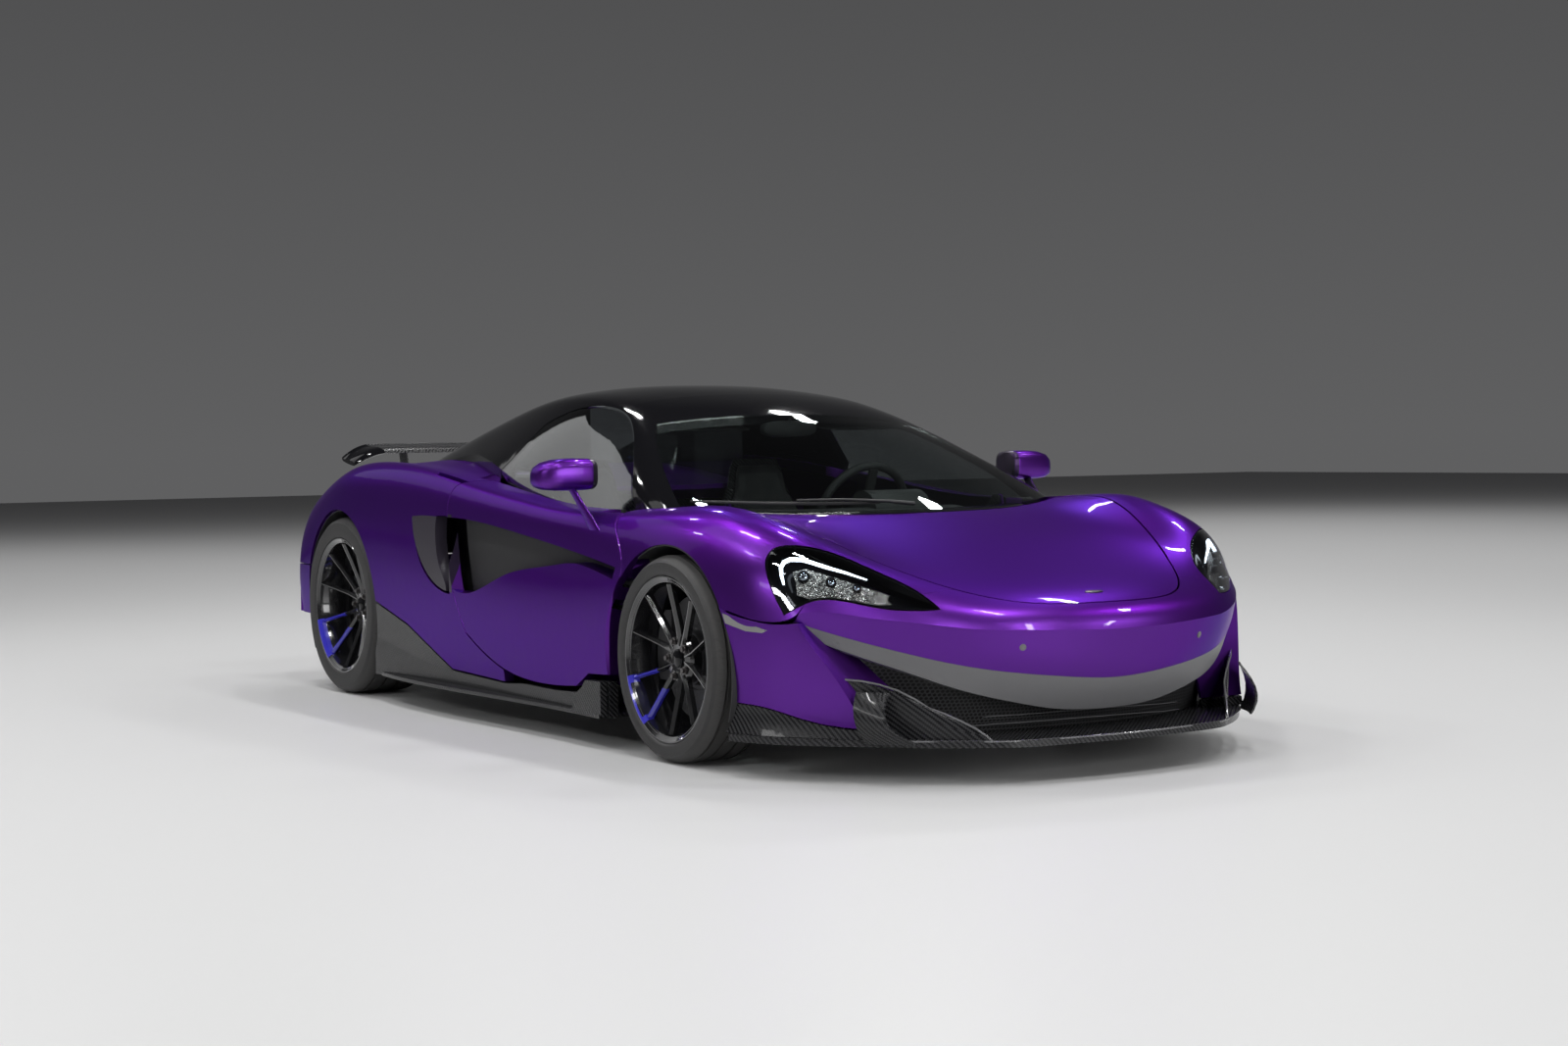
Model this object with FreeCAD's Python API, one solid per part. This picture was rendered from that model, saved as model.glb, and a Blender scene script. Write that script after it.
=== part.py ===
import FreeCAD, Part
import math
import os
from FreeCAD import Matrix, Placement, Rotation, Vector

os.makedirs("parts", exist_ok=True)

# Driving dimensions in mm. The body lines below are drawn for these nominal sizes
# and at() carries every drawn point over to the sizes set here.
LENGTH = 4604.0
BODY_WIDTH = 1930.0
BODY_HEIGHT = 1197.0
WHEELBASE = 2670.0
FRONT_OVERHANG = 1070.0
FRONT_TRACK = 1680.0
REAR_TRACK = 1591.0

FRONT_TYRE_RADIUS = 320.0
FRONT_TYRE_WIDTH = 225.0
FRONT_BEAD_RADIUS = 241.3
REAR_TYRE_RADIUS = 353.0
REAR_TYRE_WIDTH = 285.0
REAR_BEAD_RADIUS = 254.0
ARCH_GAP_FRONT = 63.0
ARCH_DROP_FRONT = 30.0
ARCH_GAP_REAR = 30.0
WHEELHOUSE_FRONT_INNER = 575.0
WHEELHOUSE_REAR_INNER = 625.0
LINER_WALL = 5.0

SKIN = 26.0
BONNET_LEAN = 0.22
BONNET_NOSE_Z = 500.0
DOOR_SKIN_Y = 938.0
DOOR_SLANT = 0.6
GLASS = 5.0
LENS = 4.0
SHUT_GAP = 6.0
SEAT = 0.3
DOOR_GAP = 7.0
DOOR_INNER = 792.0
SILL_OUTER = 782.0
SILL_INNER = 640.0

SPOKE_PAIRS = 5
RIM_WALL = 8.0
DISC_RADIUS_FRONT = 192.0
DISC_RADIUS_REAR = 190.0
DISC_WALL = 34.0
HUB_RADIUS = 78.0
AXLE_BORE = 30.0
STEERING_WHEEL_RADIUS = 182.0
STEERING_GRIP_RADIUS = 15.0
EXHAUST_RADIUS = 46.0
PIPE_WALL = 2.5
TOW_THREAD_RADIUS = 8.0
TOW_THREAD_DEPTH = 55.0
PLATE_HOLE_RADIUS = 3.0
PLATE_HOLE_PITCH = 200.0
HINGE_PIN_RADIUS = 9.0
HINGE_ARM_HALF = 10.0
BONNET_PIN_RADIUS = 7.0
RUNNING = 0.08

REAR_OVERHANG = LENGTH - WHEELBASE - FRONT_OVERHANG
FRONT_AXLE_X = LENGTH / 2 - FRONT_OVERHANG
REAR_AXLE_X = FRONT_AXLE_X - WHEELBASE

# The sizes and axle places that the body lines are drawn for.
DRAWN_FRONT_AXLE = 1192.0
DRAWN_REAR_AXLE = -1478.0
DRAWN_FRONT_OVERHANG = 1070.0
DRAWN_REAR_OVERHANG = 864.0
DRAWN_WIDTH = 1930.0
DRAWN_HEIGHT = 1197.0


def at(x, y, z):
    """A point of the body drawing at the car's real size."""
    if x > DRAWN_FRONT_AXLE:
        real_x = FRONT_AXLE_X + (x - DRAWN_FRONT_AXLE) * FRONT_OVERHANG / DRAWN_FRONT_OVERHANG
    elif x < DRAWN_REAR_AXLE:
        real_x = REAR_AXLE_X + (x - DRAWN_REAR_AXLE) * REAR_OVERHANG / DRAWN_REAR_OVERHANG
    else:
        real_x = FRONT_AXLE_X + (x - DRAWN_FRONT_AXLE) * WHEELBASE / (DRAWN_FRONT_AXLE - DRAWN_REAR_AXLE)
    return Vector(real_x, y * BODY_WIDTH / DRAWN_WIDTH, z * BODY_HEIGHT / DRAWN_HEIGHT)


def bspline(poles):
    """Bicubic surface over a net of points, through the net's corners."""
    counts = (len(poles), len(poles[0]))
    knots = [[float(k) for k in range(n - 2)] for n in counts]
    mults = [[4] + [1] * (n - 4) + [4] for n in counts]
    surface = Part.BSplineSurface()
    surface.buildFromPolesMultsKnots(poles, mults[0], mults[1], knots[0], knots[1], False, False, 3, 3)
    return surface


def mirrored_net(rows):
    """Rows drawn from the centre line outwards, made full width."""
    full = []
    for row in rows:
        right = [at(x, -y, z) for x, y, z in reversed(row[1:])]
        full.append(right + [at(x, y, z) for x, y, z in row])
    return full


def inset(surface, depth):
    """The same surface moved to its inner side by a wall's depth."""
    rows, columns = surface.NbUPoles, surface.NbVPoles
    poles = []
    for i in range(rows):
        u = greville(surface.UKnotSequence, i)
        row = []
        for j in range(columns):
            v = greville(surface.VKnotSequence, j)
            row.append(surface.getPole(i + 1, j + 1) - outward(surface, u, v) * depth)
        poles.append(row)
    return bspline(poles)


def greville(knots, index):
    low, high = knots[3], knots[-4]
    mean = (knots[index + 1] + knots[index + 2] + knots[index + 3]) / 3
    span = (high - low) * 1e-4
    return min(max(mean, low + span), high - span)


def outward(surface, u, v):
    """Unit normal on the side that the surface's own middle shows upwards or forwards."""
    u_mid = surface.UKnotSequence[-1] / 2
    v_mid = surface.VKnotSequence[-1] / 2
    middle = surface.normal(u_mid, v_mid)
    sign = 1 if middle.x + middle.z > 0 else -1
    return surface.normal(u, v) * sign


def closed(surface, axis, value):
    """Solid between a surface and a plane square to one axis."""
    u0, u1 = surface.UKnotSequence[0], surface.UKnotSequence[-1]
    v0, v1 = surface.VKnotSequence[0], surface.VKnotSequence[-1]
    rims = [surface.uIso(u0), surface.vIso(v1), surface.uIso(u1), surface.vIso(v0)]
    faces = [surface.toShape()]
    feet = []
    for rim in rims:
        foot = rim.copy()
        for k, pole in enumerate(rim.getPoles()):
            pole[axis] = value
            foot.setPole(k + 1, pole)
        faces.append(Part.makeRuledSurface(rim.toShape(), foot.toShape()))
        feet.append(foot.toShape())
    faces.append(Part.Face(Part.Wire(Part.__sortEdges__(feet))))
    shell = Part.makeShell(faces)
    shell.sewShape()
    solid = Part.makeSolid(shell)
    if solid.Volume < 0:
        solid.reverse()
    return solid


def wire(runs):
    """Closed wire of runs of points: two points make a line, more a smooth curve."""
    edges = []
    for run in runs:
        if len(run) == 2:
            edges.append(Part.makeLine(run[0], run[1]))
        else:
            curve = Part.BSplineCurve()
            curve.interpolate(run)
            edges.append(curve.toShape())
    return Part.Wire(edges)


def grown(base, distance):
    """The wire moved outwards in its own plane."""
    moved = base.makeOffset2D(distance).Edges
    edges = [e.Curve.toBSpline(e.FirstParameter, e.LastParameter).toShape() for e in moved]
    return Part.Wire(Part.__sortEdges__(edges))


def linked(runs):
    """Runs of drawn pairs, each begun where the last one ended, and closed."""
    full = [list(runs[0])]
    for run in runs[1:]:
        full.append([full[-1][-1]] + list(run))
    if full[-1][-1] != full[0][0]:
        full.append([full[-1][-1], full[0][0]])
    return full


def leaned(points):
    """Plan points (x, y) of an outline drawn on the body as (x, y, z), for a prism that leans forwards."""
    return [(x - BONNET_LEAN * (z - BONNET_NOSE_Z), y) for x, y, z in points]


def plan_prism(runs, z0, z1, grow=0.0):
    """Upright prism over an outline drawn in plan as (x, y)."""
    base = wire([[Vector(at(x, y, 0).x, at(x, y, 0).y, z0) for x, y in run] for run in linked(runs)])
    if grow:
        base = grown(base, grow)
    return Part.Face(base).extrude(Vector(0, 0, z1 - z0))


def side_prism(runs, y0, y1, grow=0.0, slant=0.0):
    """Crosswise prism over an outline drawn in side view as (x, z), slanted forwards on the way in."""
    base = wire([[Vector(at(x, 0, z).x, y0, at(x, 0, z).z) for x, z in run] for run in linked(runs)])
    if grow:
        base = grown(base, grow)
    prism = Part.Face(base).extrude(Vector(-slant * (y1 - y0), y1 - y0, 0))
    return lifted(prism, x=slant * (DOOR_SKIN_Y - y0))


def front_prism(runs, x0, x1):
    """Lengthwise prism over an outline drawn in front view as (y, z)."""
    base = wire([[Vector(x0, at(0, y, z).y, at(0, y, z).z) for y, z in run] for run in linked(runs)])
    return Part.Face(base).extrude(Vector(x1 - x0, 0, 0))


def mirror_run(run):
    return [(x, -y) for x, y in reversed(run)]


def box(low, high):
    """Box between two drawn corners."""
    a, b = at(*low), at(*high)
    return Part.makeBox(b.x - a.x, b.y - a.y, b.z - a.z, a)


def drum(radius, y0, y1, x, z):
    """Cylinder lying across the car."""
    return Part.makeCylinder(radius, y1 - y0, Vector(x, y0, z), Vector(0, 1, 0))


def mirrored(shape):
    return shape.mirror(Vector(0, 0, 0), Vector(0, 1, 0))


def lifted(shape, x=0.0, y=0.0, z=0.0):
    moved = shape.copy()
    moved.translate(Vector(x, y, z))
    return moved


def solids_of(shape, least=400.0):
    """The solids of a shape that are large enough to be pieces."""
    return [s for s in shape.Solids if s.Volume > least]


NODES = {}


def node(name, *shapes):
    """Gather one node's solids."""
    solids = []
    for shape in shapes:
        solids.extend(solids_of(shape))
    NODES[name] = solids


def pair(shape):
    """A left-hand shape with its right-hand twin."""
    return [shape, mirrored(shape)]


# Body lines: each runs from the nose to the tail as (x, y, z). The front and tail
# rows have their own points, and between them the stations are cut at STATIONS.
STATIONS = [
    1560, 1430, 1300, 1150, 1000, 850, 650, 400, 150, -100, -350,
    -600, -850, -1080, -1280, -1478, -1660, -1830, -1980,
]
BODY_LINES = {
    "centre": (
        [(2262, 0, 385), (2236, 0, 455), (2185, 0, 500), (2065, 0, 540), (1830, 0, 594)],
        [(1560, 0, 660), (1300, 0, 717), (1100, 0, 755), (900, 0, 765), (500, 0, 770), (100, 0, 780),
         (-300, 0, 800), (-700, 0, 860), (-1100, 0, 900), (-1478, 0, 900), (-1980, 0, 885)],
        [(-2120, 0, 880), (-2230, 0, 872)],
    ),
    "bonnet_middle": (
        [(2250, 220, 388), (2224, 220, 457), (2168, 220, 502), (2050, 220, 541), (1822, 220, 595)],
        [(1560, 220, 660), (1300, 220, 716), (1100, 220, 756), (900, 220, 766), (500, 220, 771), (100, 220, 781),
         (-300, 220, 801), (-700, 220, 861), (-1100, 220, 901), (-1478, 220, 901), (-1980, 220, 884)],
        [(-2115, 220, 879), (-2222, 220, 870)],
    ),
    "bonnet_edge": (
        [(2192, 425, 406), (2163, 428, 466), (2100, 430, 505), (1980, 430, 548), (1790, 430, 604)],
        [(1560, 430, 662), (1300, 430, 714), (1100, 430, 750), (900, 430, 766), (500, 430, 772), (100, 430, 783),
         (-300, 430, 810), (-700, 430, 870), (-1100, 430, 905), (-1478, 430, 903), (-1980, 430, 876)],
        [(-2095, 430, 869), (-2190, 430, 858)],
    ),
    "valley": (
        [(2087, 590, 426), (2052, 588, 482), (1990, 583, 530), (1895, 578, 580), (1760, 575, 630)],
        [(1560, 575, 680), (1300, 578, 728), (1100, 600, 755), (900, 640, 770), (500, 700, 772), (100, 700, 792),
         (-300, 690, 880), (-700, 640, 940), (-1100, 600, 945), (-1478, 590, 905), (-1980, 570, 862)],
        [(-2065, 560, 850), (-2145, 550, 836)],
    ),
    "crest_inner": (
        [(1972, 698, 442), (1935, 695, 505), (1885, 693, 560), (1825, 690, 620), (1718, 688, 682)],
        [(1560, 682, 728), (1300, 680, 768), (1100, 700, 775), (900, 745, 775), (500, 805, 766), (100, 800, 800),
         (-300, 780, 850), (-700, 755, 885), (-1100, 730, 905), (-1478, 715, 908), (-1850, 700, 855), (-1980, 690, 830)],
        [(-2045, 670, 806), (-2110, 650, 782)],
    ),
    "crest_outer": (
        [(1870, 790, 460), (1828, 785, 530), (1785, 784, 600), (1740, 783, 660), (1665, 780, 706)],
        [(1560, 780, 745), (1300, 785, 800), (1100, 800, 790), (900, 835, 775), (500, 893, 764), (100, 893, 800),
         (-300, 885, 845), (-700, 862, 906), (-1100, 845, 935), (-1478, 830, 925), (-1850, 800, 838), (-1980, 785, 795)],
        [(-2035, 760, 762), (-2075, 735, 730)],
    ),
    "shoulder": (
        [(1795, 845, 455), (1765, 852, 495), (1735, 860, 555), (1700, 866, 612), (1648, 868, 660)],
        [(1560, 868, 700), (1300, 872, 772), (1100, 880, 770), (900, 900, 752), (500, 925, 735), (100, 927, 768),
         (-300, 925, 812), (-700, 915, 872), (-1100, 912, 892), (-1478, 903, 880), (-1850, 872, 780), (-1980, 855, 735)],
        [(-2022, 835, 697), (-2052, 815, 664)],
    ),
    "waist": (
        [(1800, 850, 415), (1768, 862, 440), (1735, 875, 475), (1695, 893, 525), (1645, 908, 575)],
        [(1560, 920, 620), (1300, 934, 690), (1100, 938, 695), (900, 935, 690), (500, 935, 678), (100, 938, 695),
         (-300, 940, 725), (-700, 942, 770), (-1100, 944, 785), (-1478, 938, 785), (-1850, 908, 690), (-1980, 893, 650)],
        [(-2016, 880, 612), (-2040, 862, 582)],
    ),
    "flank": (
        [(1800, 862, 350), (1770, 872, 365), (1740, 884, 390), (1705, 898, 420), (1655, 918, 455)],
        [(1560, 940, 500), (1300, 957, 570), (1100, 960, 580), (900, 950, 570), (500, 938, 560), (100, 938, 560),
         (-300, 940, 570), (-700, 948, 590), (-1100, 950, 620), (-1478, 946, 630), (-1850, 922, 580), (-1980, 910, 550)],
        [(-2012, 898, 522), (-2034, 885, 497)],
    ),
    "skirt": (
        [(1800, 868, 275), (1772, 876, 285), (1742, 888, 296), (1710, 902, 312), (1660, 922, 330)],
        [(1560, 940, 350), (1300, 955, 420), (1100, 957, 430), (900, 952, 420), (500, 948, 410), (100, 948, 410),
         (-300, 946, 410), (-700, 946, 425), (-1100, 945, 440), (-1478, 943, 450), (-1850, 922, 450), (-1980, 912, 435)],
        [(-2012, 902, 420), (-2030, 892, 405)],
    ),
    "hem": (
        [(1800, 868, 190), (1772, 876, 190), (1742, 886, 190), (1710, 898, 190), (1660, 912, 195)],
        [(1560, 925, 210), (1300, 938, 240), (1100, 938, 240), (900, 935, 200), (500, 925, 165), (100, 918, 155),
         (-300, 912, 155), (-700, 915, 180), (-1100, 930, 250), (-1478, 930, 260), (-1850, 905, 300), (-1980, 895, 310)],
        [(-2010, 888, 315), (-2024, 880, 320)],
    ),
}


def along(knots, x):
    """Height and width of a body line at one station, by a cubic through its points."""
    i = 0
    while i < len(knots) - 2 and knots[i + 1][0] > x:
        i += 1
    span = knots[i + 1][0] - knots[i][0]
    t = (x - knots[i][0]) / span
    values = []
    for c in (1, 2):
        p0, p1 = knots[i][c], knots[i + 1][c]
        m0, m1 = slope(knots, i, c) * span, slope(knots, i + 1, c) * span
        cubic = (2 * t**3 - 3 * t**2 + 1) * p0 + (t**3 - 2 * t**2 + t) * m0
        values.append(cubic + (3 * t**2 - 2 * t**3) * p1 + (t**3 - t**2) * m1)
    return values


def slope(knots, i, c):
    a, b = max(i - 1, 0), min(i + 1, len(knots) - 1)
    return (knots[b][c] - knots[a][c]) / (knots[b][0] - knots[a][0])


def body_net():
    lines = list(BODY_LINES.values())
    rows = [[line[0][r] for line in lines] for r in range(len(lines[0][0]))]
    for x in STATIONS:
        rows.append([(x, *along(line[1], x)) for line in lines])
    rows += [[line[2][r] for line in lines] for r in range(len(lines[0][2]))]
    return mirrored_net(rows)


# Greenhouse sections from the windscreen's base to the end of the rear buttresses,
# each from the centre line out and down to the belt.
GREENHOUSE = [
    [(1130, 0, 750), (1118, 230, 752), (1078, 430, 757), (1015, 630, 765), (958, 765, 765), (935, 800, 735), (915, 812, 695)],
    [(985, 0, 832), (970, 230, 832), (925, 430, 833), (860, 610, 836), (795, 765, 842), (775, 795, 808), (765, 815, 760)],
    [(815, 0, 920), (800, 230, 919), (752, 430, 918), (690, 580, 920), (625, 705, 925), (605, 765, 848), (595, 808, 764)],
    [(630, 0, 1010), (614, 230, 1008), (570, 430, 1003), (510, 555, 1002), (452, 648, 1002), (440, 735, 888), (430, 803, 768)],
    [(430, 0, 1092), (414, 230, 1089), (375, 425, 1080), (325, 525, 1074), (270, 592, 1066), (265, 705, 930), (260, 800, 783)],
    [(200, 0, 1156), (188, 230, 1152), (160, 420, 1140), (120, 505, 1130), (70, 560, 1112), (80, 690, 962), (85, 797, 806)],
    [(-60, 0, 1195), (-65, 230, 1191), (-80, 410, 1170), (-105, 490, 1158), (-130, 548, 1130), (-105, 684, 985), (-90, 790, 838)],
    [(-310, 0, 1203), (-312, 230, 1199), (-320, 405, 1178), (-330, 485, 1160), (-340, 545, 1124), (-290, 672, 1000), (-240, 774, 874)],
    [(-560, 0, 1184), (-560, 230, 1180), (-560, 405, 1160), (-565, 490, 1135), (-570, 550, 1090), (-500, 650, 1000), (-400, 748, 912)],
    [(-820, 0, 1128), (-820, 230, 1124), (-820, 415, 1108), (-825, 500, 1078), (-830, 562, 1035), (-740, 625, 990), (-620, 695, 943)],
    [(-1150, 0, 1050), (-1150, 230, 1046), (-1150, 425, 1030), (-1130, 510, 1005), (-1110, 565, 980), (-1000, 610, 970), (-860, 640, 962)],
    [(-1500, 0, 960), (-1500, 230, 957), (-1500, 430, 935), (-1460, 510, 920), (-1420, 560, 905), (-1300, 600, 905), (-1150, 630, 905)],
]

# Nose face sections across the car, from above the nose edge down to the splitter.
NOSE_FACE = [
    [(2264, 0, 1000), (2252, 210, 1000), (2202, 400, 1000), (2150, 500, 1000), (2072, 600, 1000), (1972, 700, 1000), (1864, 790, 1000), (1774, 870, 1000)],
    [(2262, 0, 700), (2250, 210, 700), (2200, 400, 700), (2148, 500, 700), (2070, 600, 700), (1970, 700, 700), (1862, 790, 700), (1772, 870, 700)],
    [(2252, 0, 450), (2240, 210, 455), (2190, 400, 470), (2138, 500, 480), (2060, 600, 490), (1960, 700, 500), (1852, 790, 515), (1762, 870, 520)],
    [(2240, 0, 411), (2226, 210, 416), (2175, 400, 432), (2123, 500, 440), (2045, 600, 448), (1945, 700, 458), (1838, 790, 474), (1745, 870, 480)],
    [(2228, 0, 345), (2214, 210, 355), (2162, 400, 376), (2110, 500, 390), (2033, 600, 408), (1940, 700, 430), (1828, 790, 455), (1735, 870, 462)],
    [(2206, 0, 283), (2194, 210, 298), (2140, 400, 322), (2090, 500, 342), (2018, 600, 370), (1930, 700, 406), (1815, 790, 436), (1720, 870, 440)],
    [(2160, 0, 200), (2148, 210, 208), (2098, 400, 240), (2048, 500, 265), (1975, 600, 300), (1880, 700, 335), (1775, 790, 375), (1690, 870, 390)],
    [(2090, 0, 90), (2080, 210, 90), (2040, 400, 90), (1990, 500, 90), (1920, 600, 90), (1830, 700, 90), (1730, 790, 90), (1650, 870, 90)],
]

BODY = bspline(body_net())
CABIN = bspline(mirrored_net(GREENHOUSE))
NOSE = bspline(mirrored_net(NOSE_FACE))
KEEL = at(0, 0, 100).z
BELOW = at(0, 0, 20).z
BODY_SOLID = closed(BODY, 2, KEEL)
CABIN_SOLID = closed(CABIN, 2, at(0, 0, 690).z)
NOSE_SOLID = closed(NOSE, 0, at(1450, 0, 0).x)
BODY_UP = lifted(BODY_SOLID, z=SEAT)


def body_skin(depth):
    """The outer wall of the body, of one depth."""
    return BODY_SOLID.cut(closed(inset(BODY, depth), 2, BELOW))


def cabin_skin(depth):
    """The outer wall of the greenhouse, of one depth."""
    return CABIN_SOLID.cut(closed(inset(CABIN, depth), 2, at(0, 0, 600).z))


FRONT_ARCH_Z = FRONT_TYRE_RADIUS - ARCH_DROP_FRONT
FRONT_ARCH_R = FRONT_TYRE_RADIUS + ARCH_GAP_FRONT
REAR_ARCH_R = REAR_TYRE_RADIUS + ARCH_GAP_REAR
WIDE = BODY_WIDTH
FAR = LENGTH


def arch_cut(front, grow=0.0):
    """The two wheel spaces of one axle."""
    if front:
        drums = drum(FRONT_ARCH_R + grow, WHEELHOUSE_FRONT_INNER - grow, WIDE, FRONT_AXLE_X, FRONT_ARCH_Z)
    else:
        drums = drum(REAR_ARCH_R + grow, WHEELHOUSE_REAR_INNER - grow, WIDE, REAR_AXLE_X, REAR_TYRE_RADIUS)
    return drums.fuse(mirrored(drums))


FRONT_ARCHES = arch_cut(True)
REAR_ARCHES = arch_cut(False)

# Panel outlines. Plan outlines are drawn over the left half and mirrored.
DOOR_EDGE = [
    [(756, 760), (806, 728), (866, 682), (908, 640), (926, 600)],
    [(925, 580), (868, 500), (828, 430), (803, 350), (797, 290), (800, 244)],
    [(660, 238)],
    [(560, 190)],
    [(400, 180), (150, 184), (0, 205), (-169, 259), (-291, 318)],
    [(-335, 400), (-365, 463)],
    [(-400, 600), (-418, 720), (-419, 849), (-419, 960)],
    [(-300, 930), (-200, 905)],
    [(784, 905)],
]
SIDE_GLASS_EDGE = [
    [(748, 772), (450, 740), (150, 760), (-100, 800), (-330, 880)],
    [(-262, 1052)],
    [(-100, 1104), (60, 1110), (220, 1083), (380, 1018), (560, 912), (748, 772)],
]


def full_outline(half):
    """A plan outline drawn from the centre line round to the centre line, both sides."""
    linked_runs = [list(half[0])]
    for run in half[1:]:
        linked_runs.append([linked_runs[-1][-1]] + list(run))
    other = [mirror_run(run) for run in reversed(linked_runs)]
    runs = [linked_runs[0]]
    for run in linked_runs[1:] + other:
        runs.append(run[1:])
    return runs


WINDSCREEN_EDGE = full_outline([
    [(1128, 0), (1116, 230), (1076, 430), (1010, 618), (944, 738)],
    [(780, 690), (640, 640), (500, 578), (400, 515)],
    [(418, 425), (442, 230), (455, 0)],
])


def make_bonnet():
    """Front lid between the fenders, from the cowl to the nose panel."""
    rear = leaned([(1164, 0, 742), (1152, 230, 742), (1112, 430, 748), (1054, 620, 757), (1016, 715, 772)])
    side = leaned([(1120, 742, 779), (1321, 712, 752), (1550, 640, 703), (1750, 560, 634), (1900, 482, 586), (2030, 395, 547),
                   (2120, 285, 520), (2158, 150, 503), (2166, 0, 500)])
    outline = [rear, [side[0]], side[1:] + mirror_run(side)[1:], [mirror_run(rear)[0]], mirror_run(rear)[1:]]
    prisms = []
    for grow in (-SHUT_GAP, 0.0):
        runs = [[at(x, y, BONNET_NOSE_Z) for x, y in run] for run in linked(outline)]
        base = wire(runs)
        if grow:
            base = grown(base, grow)
        low = Part.Face(base)
        low.translate(Vector(-BONNET_LEAN, 0, -1) * 400)
        prisms.append(low.extrude(Vector(BONNET_LEAN, 0, 1) * 800))
    return prisms


BONNET_TOOL, BONNET_HOLE = make_bonnet()
DOOR_TOOL = side_prism(DOOR_EDGE, DOOR_INNER, WIDE, 0.0, DOOR_SLANT)
DOOR_HOLE = side_prism(DOOR_EDGE, DOOR_INNER - 30, WIDE, DOOR_GAP, DOOR_SLANT)
LAMP_FACING = Vector(0.83, 0.553, 0.058)
LAMP_CENTRE = (1850, 700, 580)
LAMP_EDGE = [
    (2057, 531, 498), (2029, 580, 497), (1944, 678, 507), (1872, 741, 525), (1804, 808, 522), (1773, 844, 500),
    (1752, 862, 484), (1721, 872, 533), (1682, 874, 597), (1661, 864, 640), (1657, 836, 668), (1682, 798, 677),
    (1748, 713, 660), (1848, 611, 602), (1982, 545, 539),
]


def lamp_prism(grow):
    """Prism over the headlamp's outline, along the way the lamp faces."""
    facing = Vector(LAMP_FACING)
    facing.normalize()
    centre = at(*LAMP_CENTRE)
    points = []
    for p in LAMP_EDGE:
        q = at(*p)
        points.append(q - facing * (q - centre).dot(facing))
    moved = []
    for i, q in enumerate(points):
        way = (points[(i + 1) % len(points)] - points[i - 1]).cross(facing)
        way.normalize()
        moved.append(q + way * grow)
    face = Part.Face(wire([moved[0:7], moved[6:] + [moved[0]]]))
    face.translate(facing * -230)
    return face.extrude(facing * 600)


LAMP_HOLE = lamp_prism(3.0)
LAMP_HOLES = LAMP_HOLE.fuse(mirrored(LAMP_HOLE))


# Nose panels. Front-view curves run from the centre line outwards as (y, z).
BLADE_BOTTOM = [(0, 283), (210, 298), (400, 322), (500, 342), (600, 370), (700, 404), (790, 440), (870, 478)]
GREY_BOTTOM = [(0, 188), (200, 200), (300, 220), (400, 244), (500, 276), (600, 318), (700, 362), (790, 408), (870, 455)]
CHEEK_TOP = [(1480, 522), (1545, 484), (1620, 468), (1700, 456), (1790, 460)]
CHEEK_BOTTOM = [(1500, 222), (1583, 218), (1680, 208), (1760, 186), (1840, 168), (1960, 160)]
CHEEK_NET = [
    [(1500, 943, 520), (1600, 929, 515), (1680, 905, 510), (1735, 880, 505), (1770, 857, 500)],
    [(1500, 944, 440), (1605, 927, 440), (1695, 899, 438), (1760, 868, 435), (1800, 840, 430)],
    [(1500, 942, 355), (1615, 922, 355), (1715, 887, 355), (1795, 840, 355), (1852, 795, 353)],
    [(1500, 937, 270), (1620, 913, 270), (1730, 867, 270), (1825, 805, 270), (1895, 757, 270)],
    [(1500, 930, 200), (1620, 900, 200), (1735, 847, 200), (1838, 780, 200), (1928, 728, 200)],
    [(1500, 938, 150), (1620, 912, 150), (1735, 855, 150), (1842, 780, 150), (1938, 728, 150)],
    [(1500, 956, 100), (1620, 938, 100), (1740, 880, 100), (1850, 795, 100), (1948, 730, 100)],
]
CHEEK_WALL = 22.0
SPLITTER_Z = (108, 128)
SPLITTER_START = 1575


def drawn_net(rows):
    """Left-hand net of drawn points."""
    return [[at(x, y, z) for x, y, z in row] for row in rows]


def curve_band(low, high, x0, x1):
    """Front-view region between two curves, both sides of the centre line."""
    bottom = mirrored_curve(low)
    top = list(reversed(mirrored_curve(high)))
    return front_prism([bottom, [top[0]], top[1:], [bottom[0]]], x0, x1)


def mirrored_curve(curve):
    return [(-y, z) for y, z in reversed(curve[1:])] + list(curve)


def nose_wall(depth):
    """The nose blade's wall: top skin and face, of one depth."""
    outer = BODY_SOLID.common(NOSE_SOLID)
    inner = closed(inset(BODY, depth), 2, BELOW).common(closed(inset(NOSE, depth), 0, at(1300, 0, 0).x))
    return outer.cut(inner)


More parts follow.
